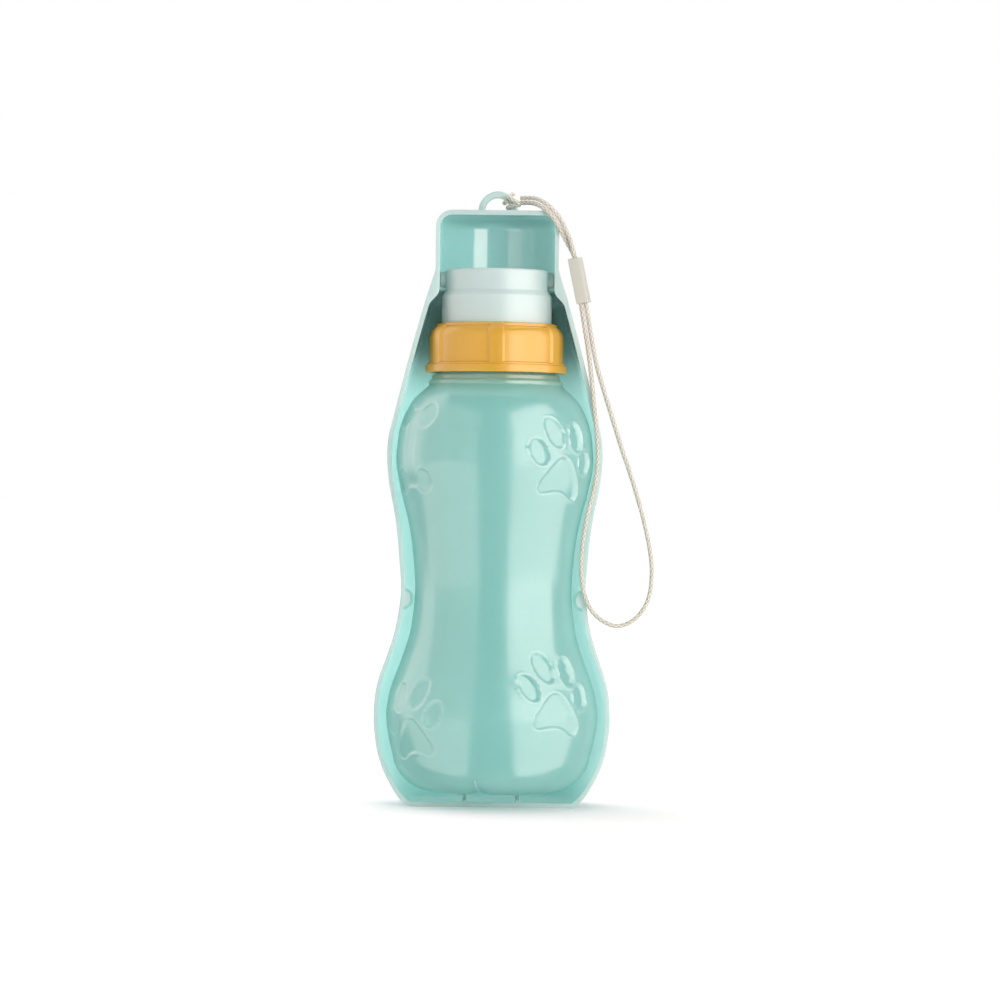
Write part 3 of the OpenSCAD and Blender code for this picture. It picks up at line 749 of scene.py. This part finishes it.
trough = {"rim": 9, "wall": 2.0, "top": 246.3, "outerRound": 7, "innerRound": 5, "earFace": 23.7,
          "arcSteps": 56, "rimSteps": 3, "bulge": 48.85, "waist": 38.1, "shoulder": 44.5,
          "head": 25.5, "pivot": 217.8, "pivotHole": 2.55, "drill": 80, "drillTurn": 2,
          "edgeRound": 0.35, "smooth": 40}
bulge, waist, shoulder, head = (trough[k] for k in ("bulge", "waist", "shoulder", "head"))
troughSides = [  # height, half width
    (0, 33.8), (2.5, 37), (5, 39.1), (9, 41.6), (15.5, bulge - 4), (24, bulge - 1.4), (36, bulge),
    (44.5, bulge - 0.35), (52.6, bulge - 1.85), (60.8, bulge - 4.75), (69, waist + 3.3),
    (77.3, waist + 1.4), (89.7, waist), (102, waist + 0.9), (114.4, waist + 2.1),
    (126.8, shoulder - 2.25), (135, shoulder - 0.8), (145.4, shoulder), (152, shoulder - 0.5),
    (159.8, shoulder - 2.3), (184.5, head + 10.6), (209.2, head + 3.8), (217.5, head + 1.2),
    (222.5, head - 0.1), (trough["top"], head)]
troughDepths = [  # height, depth behind the bottle's axis
    (0, 37), (2.5, 40), (6, 43.2), (13, 46.4), (24, 48), (38, 48.4), (62, 46.6), (90, 43),
    (118, 43.8), (145, 45.6), (165, 43.6), (184.5, 39), (200, 33.2), (209.2, 29), (217.5, 26.2),
    (222.5, 25.3), (trough["top"], 25.2)]
corner = {"from": 16, "to": 30, "drop": 1.2, "thin": 0.4}  # the foot's inner corner is fuller
square = {"low": 2.6, "less": 0.6, "from": 150, "to": 205}  # fuller than round at the bulges


def cornerAt(z):
    return 1 - ramp(z, corner["from"], corner["to"])


def squareness(z):
    return square["low"] - square["less"] * ramp(z, square["from"], square["to"])


def innerAt(line, z, s):
    low = max(0, z - corner["drop"] * cornerAt(z))
    return curveAt(line, low) - s["wall"] + corner["thin"] * cornerAt(z)


def innerHalf(z, s):  # flat ears beside the collar
    k = ramp(z, 207, 213.4)
    return innerAt(troughSides, z, s) * (1 - k) + s["earFace"] * k


def innerDepth(z, s):
    return innerAt(troughDepths, z, s)


def topRound(z, top, r):
    d = min(r, max(0, z - (top - r)))
    return r - math.sqrt(r * r - d * d)


def troughSection(half, depth, n, z, s):
    t = np.linspace(0, math.pi, s["arcSteps"] + 1)
    x = half * np.sign(np.cos(t)) * np.abs(np.cos(t)) ** (2 / n)
    y = depth * np.abs(np.sin(t)) ** (2 / n)
    lead = [(half, -s["rim"] * (1 - k / s["rimSteps"])) for k in range(s["rimSteps"])]
    row = lead + list(zip(x, y)) + [(-a, b) for a, b in lead[::-1]]
    return [(a * mm, b * mm, z * mm) for a, b in row]


def troughLevels(foot, top, r):
    low = [foot + k for k in (0, 0.6, 1.3, 2.1, 3.1, 4.3, 5.8, 7.6, 9.8, 12.4, 15.2)]
    middle = list(np.linspace(foot + 18, 204.5, 58))
    upper = [206, 207.2, 208.4, 209.6, 210.8, 212, 213.4, 215, 217, 219.5, 222.5, 226, 230, 235]
    return low + middle + upper + [top - r + r * math.sin(math.radians(a))
                                   for a in (0, 12, 24, 36, 48, 60, 72, 82, 90)]


def makeTrough(s):
    outerLevels = troughLevels(0, s["top"], s["outerRound"])
    innerLevels = troughLevels(s["wall"], s["top"] - s["wall"], s["innerRound"])
    rows = []
    for z in outerLevels:
        d = topRound(z, s["top"], s["outerRound"])
        rows.append(troughSection(curveAt(troughSides, z) - d, curveAt(troughDepths, z) - d,
                                  squareness(z), z, s))
    for z in innerLevels:
        d = topRound(z, s["top"] - s["wall"], s["innerRound"])
        rows.append(troughSection(innerHalf(z, s) - d, innerDepth(z, s) - d, squareness(z), z, s))
    points = [p for row in rows for p in row]
    across, count = len(rows[0]), len(outerLevels)
    shift, last = across * count, (count - 1) * across
    faces = []
    for i in range(count - 1):
        for j in range(across - 1):
            a = i * across + j
            faces.append((a, a + 1, a + across + 1, a + across))
            faces.append((a + shift, a + shift + across, a + shift + across + 1, a + shift + 1))
        for j in (0, across - 1):
            a = i * across + j
            rim = (a, a + across, a + across + shift, a + shift)
            faces.append(rim if j == 0 else rim[::-1])
    for j in range(across // 2):  # floor and roof, closed in strips from side to side
        a, b = j, across - 1 - j
        if b - a < 1:
            break
        for start, flip in ((0, False), (last, True), (shift, True), (shift + last, False)):
            quad = (start + a, start + b, start + b - 1, start + a + 1)
            quad = quad if b - a > 2 else quad[:3] if b - a == 2 else None
            if quad:
                faces.append(quad if flip else quad[::-1])
    faces.append((0, shift, shift + across - 1, across - 1))
    faces.append((last, last + across - 1, shift + last + across - 1, shift + last))
    piece = meshPiece("troughShell", points, faces)
    bpy.ops.object.mode_set(mode="EDIT")
    normalsOut()
    leaveEdit()
    return piece


def cutPivotHole(piece, s):
    drill = makeBar(s["pivotHole"], s["drill"], 0, s["pivot"], 48)
    # no corner of it meets the wall's edges
    drill.data.transform(Matrix.Rotation(math.radians(s["drillTurn"]), 4, "Z"))
    combine(piece, drill, "DIFFERENCE")


# the flat half ring on top, the nubs that hold the waist, and the two low floor ribs
hangLoop = {"middle": 6.7, "band": 2.9, "thick": 3.2, "height": 246.5, "round": 0.9, "sunk": 1.2,
            "steps": 40}
rimNub = {"tip": 32.9, "height": 85.7, "radius": 4.5, "depth": 5.8, "length": 4.2, "front": 8.9}
floorRib = {"x": 11, "middle": 11.5, "width": 1.5, "top": 3.0, "height": 1.5, "length": 37,
            "round": 0.35}


def makeHangLoop(s):
    a, b = s["band"] / 2, s["thick"] / 2
    section = roundedLine([(x, y, s["round"]) for x, y in ((-a, -b), (a, -b), (a, b), (-a, b))])
    points = [((s["middle"] + x) * mm, y * mm, s["height"] * mm) for x, y in section]
    count = len(points)
    piece = meshPiece("hangLoop", points, [], [(i, (i + 1) % count) for i in range(count)])
    editAll()
    bpy.ops.mesh.edge_face_add()
    sink = {"value": (0, 0, -s["sunk"] * mm)}
    bpy.ops.mesh.extrude_region_move(TRANSFORM_OT_translate=sink)
    normalsOut()
    selectFaces(piece, lambda face: face.normal.z > 0.9)
    bpy.ops.mesh.spin(steps=s["steps"], angle=math.pi, center=(0, 0, s["height"] * mm),
                      axis=(0, 1, 0))
    bpy.ops.mesh.extrude_region_move(TRANSFORM_OT_translate=sink)
    bpy.ops.mesh.select_all(action="SELECT")
    bpy.ops.mesh.remove_doubles(threshold=mergeGap)
    normalsOut()
    leaveEdit()
    return piece


def makeNub(side, s):
    deselectAll()
    bpy.ops.mesh.primitive_uv_sphere_add(
        segments=48, ring_count=24, radius=s["radius"] * mm,
        location=(side * (s["tip"] + s["radius"]) * mm, -s["depth"] * mm, s["height"] * mm))
    nub = bpy.context.object
    placeInMesh(nub)
    for place, away in (((side * (s["tip"] + s["length"]) * mm, 0, 0), (side, 0, 0)),
                        ((0, -s["front"] * mm, 0), (0, -1, 0))):
        editAll()
        bpy.ops.mesh.bisect(plane_co=place, plane_no=away, clear_outer=True, use_fill=True)
    leaveEdit()
    return nub


def makeRib(side, s):
    rib = makeBox((s["width"], s["length"], s["height"]),
                  (side * s["x"], s["middle"], s["top"] - s["height"] / 2))
    applyModifier(rib, "BEVEL", width=s["round"] * mm, segments=2)
    return rib


# painted light where it was trimmed, on the hang loop and on top of the ribs; painted shade inside
# the neck and the foot
troughTones = {"rim": -8.6, "inside": -8.9, "nubHalf": 4.6, "nubReach": 34.3, "loop": 246.6,
               "neck": 150, "foot": 17, "ribHalf": 0.8, "ribLow": 1.7, "ribHigh": 3.1,
               "ribFront": -8, "ribBack": 32}


def toneOf(face, s, t):  # 0 the wall, 1 painted light on trimmed edges, 2 painted shade inside
    x, y, z = face.center / mm
    onRim = face.normal.y < -0.6 and y < t["rim"]
    onNub = abs(z - rimNub["height"]) < t["nubHalf"] and abs(x) < t["nubReach"]
    onRib = (abs(abs(x) - floorRib["x"]) < t["ribHalf"] and t["ribLow"] < z < t["ribHigh"]
             and t["ribFront"] < y < t["ribBack"])
    if (onRim and not onNub) or z > t["loop"] or onRib:
        return 1
    n = squareness(z)
    within = ((abs(x) / (innerHalf(z, s) + 1)) ** n
              + (max(0, y) / (innerDepth(z, s) + 1)) ** n < 1)
    return 2 if within and (z > t["neck"] or z < t["foot"]) and y > t["inside"] else 0


troughPiece = makeTrough(trough)
cutPivotHole(troughPiece, trough)
applyModifier(troughPiece, "BEVEL", width=trough["edgeRound"] * mm, segments=2,
              limit_method="ANGLE", angle_limit=math.radians(62))
extras = [makeHangLoop(hangLoop)]
for side in (-1, 1):
    extras += [makeNub(side, rimNub), makeRib(side, floorRib)]
for extra in extras:
    combine(troughPiece, extra, "UNION")
smoothShade(troughPiece, trough["smooth"])
finishPiece(troughPiece, "trough_body",
            [finishes[key] for key in ("trough", "troughLitEdge", "troughShadedInside")],
            "trough")
# painted light on the trimmed edges, loop and rib tops; painted shade inside
for face in troughPiece.data.polygons:
    face.material_index = toneOf(face, trough, troughTones)
print("trough", len(troughPiece.data.polygons))


# screw ring: turned, its six panels sunk between the grip lugs

ring = {"inner": 26.2, "foot": 179.2, "top": 199.8, "flange": 29.4, "flangeTop": 182.4,
        "lugRadius": 28.65, "shoulder": 6.2, "lip": 23.1, "panelFoot": 183.1, "panelHead": 20.4,
        "panelDepth": 0.85, "edge": 0.32, "lugHalf": 3.15, "lugs": 6, "lugSpan": 14.6,
        "lugSteps": 32, "panelSteps": 22, "seam": 0.34, "seamHeight": 0.16, "lipThick": 2,
        "shoulderEnd": 80, "onFace": 0.05, "lugDrop": 2.2, "panelDrop": 2.9, "smooth": 32}


def ringOutline(s):
    side = [(s["lugRadius"], z) for z in (182.9, 183.1, 183.3, 183.5, 185, 187.5, 190, 192)]
    shoulder = [(s["lugRadius"] - s["shoulder"] * (1 - math.cos(a)),
                 s["top"] - s["shoulder"] * (1 - math.sin(a)))
                for a in np.linspace(0, math.radians(s["shoulderEnd"]), 40)]
    underLip = s["top"] - s["lipThick"]
    return roundedLine([
        (s["inner"], s["foot"], 0.3), (s["flange"], s["foot"], 0.4),
        (s["flange"], s["flangeTop"], 0.4), (s["lugRadius"], s["flangeTop"] + 0.1)]
        + side + shoulder
        + [(s["lip"], s["top"], 0.3), (s["lip"], underLip, 0.3), (s["inner"], underLip, 0.3)])


def ringPanels(piece, s):  # six panels sunk between round-topped lugs
    co = meshPoints(piece)
    radius = np.hypot(co[:, 0], co[:, 1])
    pitch = 360 / s["lugs"]
    angle = np.degrees(np.arctan2(co[:, 0], -co[:, 1]))
    u = np.radians((angle + pitch / 2) % pitch - pitch / 2) * s["lugRadius"]
    # how far up the side, measured along the shoulder's round
    middle = s["top"] - s["shoulder"]
    out, up = radius - s["lugRadius"] + s["shoulder"], co[:, 2] - middle
    bend = np.arctan2(up, out)
    climb = middle - s["panelFoot"] + np.where(up > 0, s["shoulder"] * bend, up)
    onSide = (np.abs(radius - s["lugRadius"]) < s["onFace"]) | (
        (up > 0) & (np.abs(np.hypot(out, up) - s["shoulder"]) < s["onFace"]))
    archTop = s["panelHead"] - s["lugDrop"] - s["lugHalf"]
    beside = np.where(climb < archTop, np.abs(u), np.hypot(u, climb - archTop)) - s["lugHalf"]
    inside = np.minimum(np.minimum(beside, climb), s["panelHead"] - s["panelDrop"] - climb)
    depth = np.where(onSide, s["panelDepth"] * easeInOut(np.clip(inside / s["edge"], 0, 1)), 0)
    tilt = np.where(up > 0, bend, 0)
    co[:, 2] -= depth * np.sin(tilt)
    setRadius(piece, co, radius - depth * np.cos(tilt))


def makeRingSeam(angle, s):  # on the outside only, from the foot to the lip
    line = [(r, z) for r, z in ringOutline(s) if r > s["lugRadius"] - 5 and z > s["foot"] + 0.3
            and not (r < s["inner"] + 0.6 and z < s["top"] - 1.9)]
    return makeSeam("ringSeam", line, s["seamHeight"], s["seam"], angle)


def makeRing(s):
    rest = 360 / s["lugs"] - s["lugSpan"]
    spans = [(s["lugSteps"], math.radians(s["lugSpan"])), (s["panelSteps"], math.radians(rest))]
    piece = spinLine("screwRing", ringOutline(s), spans * s["lugs"],
                     start=math.radians(-90 - s["lugSpan"] / 2))
    ringPanels(piece, s)
    return joinPieces(piece, [makeRingSeam(angle, s) for angle in (0, 180)])


ringPiece = makeRing(ring)
smoothShade(ringPiece, ring["smooth"])
finishPiece(ringPiece, "ring_body", [finishes["ring"]], "screw_ring")
print("screw ring", len(ringPiece.data.polygons))


# outlet collar: two tiers, a deck with a spout, and the pivots

collar = {"flange": 25.6, "flangeFoot": 196.2, "flangeTop": 197.7, "lower": 22.8, "tier": 211.1,
          "step": 213.2, "upper": 21.35, "top": 221.9, "wall": 1.8, "deckTop": 219.4,
          "deckFoot": 217.8, "outlet": 6.0, "seat": 9.6, "seatWall": 1.6, "seatFoot": 212.8,
          "pivot": 217.8, "boss": 3.25, "pin": 2.5, "bossEnd": 23.35, "pinEnd": 25.8,
          "pivotStart": 0.6, "pivotRound": 0.3, "spout": 1.3, "steps": 128, "smooth": 32}


def makeCollar(s):
    lowerBore, upperBore = s["lower"] - s["wall"], s["upper"] - s["wall"]
    spoutTop, seatOut = s["deckTop"] + s["spout"], s["seat"] + s["seatWall"]
    line = roundedLine([
        (lowerBore, s["flangeFoot"]), (s["flange"], s["flangeFoot"], 0.2),
        (s["flange"], s["flangeTop"], 0.2), (s["lower"], s["flangeTop"]),
        (s["lower"], s["tier"], 1.1), (s["upper"] + 0.1, s["step"], 0.4),
        (s["upper"], s["step"] + 0.6), (s["upper"], s["top"], 1.1), (upperBore, s["top"], 0.4),
        (upperBore, s["deckTop"], 0.4), (s["outlet"] + 1.6, s["deckTop"], 0.3),
        (s["outlet"] + 1.4, spoutTop, 0.4), (s["outlet"], spoutTop, 0.4),
        (s["outlet"], s["deckFoot"]), (s["seat"], s["deckFoot"]), (s["seat"], s["seatFoot"], 0.3),
        (seatOut, s["seatFoot"], 0.3), (seatOut, s["deckFoot"], 0.5),
        (upperBore, s["deckFoot"], 0.5), (upperBore, s["step"] - 1),
        (lowerBore, s["tier"] - 2)], steps=5)
    piece = spinLine("outletCollar", line, [(s["steps"], math.tau)])
    pivots = []
    start = upperBore + s["pivotStart"]
    for side in (-1, 1):
        for radius, end in ((s["boss"], s["bossEnd"]), (s["pin"], s["pinEnd"])):
            bar = makeBar(radius, end - start, side * (start + end) / 2, s["pivot"], 64)
            applyModifier(bar, "BEVEL", width=s["pivotRound"] * mm, segments=3,
                          limit_method="ANGLE")
            pivots.append(bar)
    return joinPieces(piece, pivots)


collarPiece = makeCollar(collar)
smoothShade(collarPiece, collar["smooth"])
finishPiece(collarPiece, "cap_body", [finishes["collar"]], "outlet_collar")
print("collar", len(collarPiece.data.polygons))


# clamp: a square sleeve over both strands

clamp = {"width": 5.0, "depth": 6.0, "length": 19, "wall": 0.8, "lean": 11.9, "turn": 15,
         "place": (31.9, -11, 226.8), "round": 0.45, "smooth": 40}


def makeClamp(s):
    piece = makeBox((s["width"], s["depth"], s["length"]), (0, 0, s["length"] / 2))
    piece.name = piece.data.name = "cordClamp"
    selectFaces(piece, lambda face: abs(face.normal.z) > 0.9)
    bpy.ops.mesh.inset(thickness=s["wall"] * mm, use_individual=True)
    bpy.ops.mesh.bridge_edge_loops()
    leaveEdit()
    applyModifier(piece, "BEVEL", width=s["round"] * mm, segments=3, limit_method="ANGLE")
    piece.data.transform(Matrix.Translation([v * mm for v in s["place"]])
                         @ Matrix.Rotation(math.radians(180 - s["lean"]), 4, "Y")
                         @ Matrix.Rotation(math.radians(s["turn"]), 4, "Z"))
    return piece


clampPiece = makeClamp(clamp)
smoothShade(clampPiece, clamp["smooth"])
finishPiece(clampPiece, "trough_body", [finishes["clamp"]], "cord_clamp")
print("clamp", len(clampPiece.data.polygons))


# hitch: the same cord, two turns round the hang loop and the bight over them

hitch = {"angles": (16, 48), "turn": 2.45, "drift": 4, "bightAngle": 32, "bightFront": 2.9,
         "bightBow": 1.2, "bightOut": 1.0, "bightRise": 0.92, "bightReach": 2.0}


def loopPoint(angle, across, out, away=0.0):
    # a point near the hang loop: across its thickness, outwards, and on along the band
    a = math.radians(angle)
    r = hangLoop["middle"] + out
    return np.array([r * math.cos(a) - away * math.sin(a), across,
                     hangLoop["height"] + r * math.sin(a) + away * math.cos(a)])


def makeHitch(s):
    points = []
    for angle in s["angles"]:
        for t in range(0, 360, 30):
            a = math.radians(t)
            points.append(loopPoint(angle + t / 360 * s["drift"], -s["turn"] * math.cos(a),
                                    s["turn"] * math.sin(a)))
        if angle == s["angles"][0]:
            for t in (20, 70, 110, 160):
                a = math.radians(t)
                points.append(loopPoint(
                    s["bightAngle"], -s["bightFront"] - s["bightBow"] * math.sin(a),
                    s["bightOut"] + s["bightRise"] * math.cos(a), (t - 90) / 70 * s["bightReach"]))
    return braidedCord("lanyardHitch", points, lanyard)


hitchPiece, _, hitchLength = makeHitch(hitch)
finishPiece(hitchPiece, "trough_body", [finishes["cord"]], "lanyard_hitch")
print("hitch", round(hitchLength, 1), "mm long")


# inner pieces keep their CAD shapes
for name, finish in (("slit_valve", "silicone"), ("valve_retainer", "collar"),
                     ("neck_gasket", "silicone")):
    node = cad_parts[name]
    node.data.materials.clear()
    node.data.materials.append(finishes[finish])
print("inner pieces done")


# floor, world and lamps

floorLook = {"size": 120, "back": 50, "paper": "#f2eeee", "mirrored": "#6a6a6a",
             "roughness": 0.9, "specular": 0.1, "through": 0.5,
             "lift": {"From Min": 0.25, "From Max": 0.9, "To Min": 0.2, "To Max": 0.8}}
worldLook = {"behind": {"From Min": 0.6, "From Max": 0.76, "To Min": 0.16, "To Max": 1.0},
             "matt": 0.42, "seen": 1.0}


def makeFloor(s):
    deselectAll()
    bpy.ops.mesh.primitive_plane_add(size=s["size"], location=(0, s["back"], 0))
    floor = bpy.context.object
    floor.name = "studioFloor"
    placeInMesh(floor)
    material, tree, shader = startMaterial("studioPaper")
    rays = addNode(tree, "ShaderNodeLightPath").outputs
    # the walls' sheen finds the table as dim as the room in front, apart from the white cards
    tint = addNode(tree, "ShaderNodeMix", {
        0: rays["Is Glossy Ray"], 6: hexColor(s["paper"]), 7: hexColor(s["mirrored"])},
        data_type="RGBA")
    linkTo(tree, shader, "Base Color", tint.outputs[2])
    shader.inputs["Roughness"].default_value = s["roughness"]
    shader.inputs["Specular IOR Level"].default_value = s["specular"]
    # far from the lamps the paper is kept as white as it is beneath them
    place = addNode(tree, "ShaderNodeTexCoord").outputs["Object"]
    away = addNode(tree, "ShaderNodeVectorMath", {0: place}, operation="LENGTH")
    lift = addNode(tree, "ShaderNodeMapRange", {"Value": away.outputs["Value"], **s["lift"]},
                   interpolation_type="SMOOTHSTEP")
    plain = addNode(tree, "ShaderNodeMath", {
        0: rays["Is Camera Ray"], 1: lift.outputs["Result"]}, operation="MULTIPLY")
    through = addNode(tree, "ShaderNodeMath", {0: rays["Is Transmission Ray"], 1: s["through"]},
                      operation="MULTIPLY")
    strength = addNode(tree, "ShaderNodeMath", {0: plain.outputs[0], 1: through.outputs[0]},
                       operation="MAXIMUM")
    shader.inputs["Emission Color"].default_value = (1, 1, 1, 1)
    linkTo(tree, shader, "Emission Strength", strength.outputs[0])
    floor.data.materials.append(material)


def makeWorld(s):
    world = bpy.data.worlds.new("studio")
    world.use_nodes = True
    scene.world = world
    tree = world.node_tree
    back = tree.nodes["Background"]
    rays = addNode(tree, "ShaderNodeLightPath").outputs
    # in the walls' sheen the room is dim in front and white behind, as the backdrop is
    place = addNode(tree, "ShaderNodeTexCoord").outputs["Generated"]
    parts = addNode(tree, "ShaderNodeSeparateXYZ", {"Vector": place})
    behind = addNode(tree, "ShaderNodeMapRange", {"Value": parts.outputs["Y"], **s["behind"]},
                     interpolation_type="SMOOTHSTEP")
    room = addNode(tree, "ShaderNodeMix", {
        0: rays["Is Glossy Ray"], 2: s["matt"], 3: behind.outputs["Result"]}, data_type="FLOAT")
    seen = addNode(tree, "ShaderNodeMath", {
        0: rays["Is Camera Ray"], 1: rays["Is Transmission Ray"]}, operation="MAXIMUM")
    strength = addNode(tree, "ShaderNodeMix", {
        0: seen.outputs[0], 2: room.outputs[0], 3: s["seen"]}, data_type="FLOAT")
    back.inputs["Color"].default_value = (1, 1, 1, 1)
    tree.links.new(strength.outputs[0], back.inputs["Strength"])


# soft boxes: azimuth to the right of the camera, distance, width and height, the height of the
# middle where a box stands upright; matt is what lights the pieces, sheen what their gloss shows
softBoxes = {
    "right": {"azimuth": 58, "distance": 1.0, "middle": 0.65, "size": (1.5, 1.7),
              "matt": 1, "sheen": 39},
    "left": {"azimuth": -60, "distance": 1.0, "middle": 0.65, "size": (1.6, 1.7),
             "matt": 1, "sheen": 12},
    "leftRear": {"azimuth": -128, "distance": 1.0, "middle": 0.65, "size": (1.25, 1.7),
                 "matt": 8, "sheen": 16},
    "top": {"azimuth": 180, "elevation": 68, "distance": 1.2, "size": (1.1, 1.1),
            "matt": 9, "sheen": 3},
    "front": {"azimuth": 33, "elevation": 8, "distance": 1.7, "size": (0.9, 0.7),
              "matt": 14, "sheen": 0},
}
sheenColor = (1.0, 0.8, 0.77)
# white cards flat on the table, one edge towards the object at the given azimuth
cards = {"right": {"edge": 20, "side": 1, "size": 1.3, "start": 0.045, "sheen": 19},
         "left": {"edge": -20, "side": -1, "size": 1.3, "start": 0.045, "sheen": 12}}


def addLamp(name, size, place, facing, watts, use):
    deselectAll()
    bpy.ops.object.light_add(type="AREA", location=place)
    lamp = bpy.context.object
    lamp.name = name + use.title()
    lamp.rotation_euler = facing
    lamp.data.shape = "RECTANGLE"
    lamp.data.size, lamp.data.size_y = size
    lamp.data.energy = watts
    if use == "sheen":
        lamp.data.color = sheenColor
    lamp.visible_camera = False
    if use == "matt":
        lamp.visible_glossy = False
    else:
        lamp.visible_diffuse = False


def addSoftBox(name, s):
    az, el = math.radians(s["azimuth"]), math.radians(s.get("elevation", 0))
    away = Vector((math.sin(az) * math.cos(el), -math.cos(az) * math.cos(el), math.sin(el)))
    middle = Vector((0, 0, s.get("middle", 0.13)))
    facing = away.to_track_quat("Z", "Y").to_euler()
    for use, nearer in (("matt", 0), ("sheen", 0.01)):  # the two never lie in one plane
        if s[use]:
            addLamp(name + "Box", s["size"], middle + away * (s["distance"] - nearer), facing,
                    s[use], use)


def addCard(name, s):
    a = math.radians(s["edge"])
    along, across = Vector((math.sin(a), -math.cos(a), 0)), Vector((math.cos(a), math.sin(a), 0))
    half = s["size"] / 2
    place = along * (s["start"] + half) + across * (s["side"] * half) + Vector((0, 0, 0.5 * mm))
    addLamp(name + "Card", (s["size"], s["size"]), place, (math.pi, 0, a), s["sheen"], "sheen")


makeFloor(floorLook)
makeWorld(worldLook)
for name, s in softBoxes.items():
    addSoftBox(name, s)
for name, s in cards.items():
    addCard(name, s)
print("lamps done")

deselectAll()
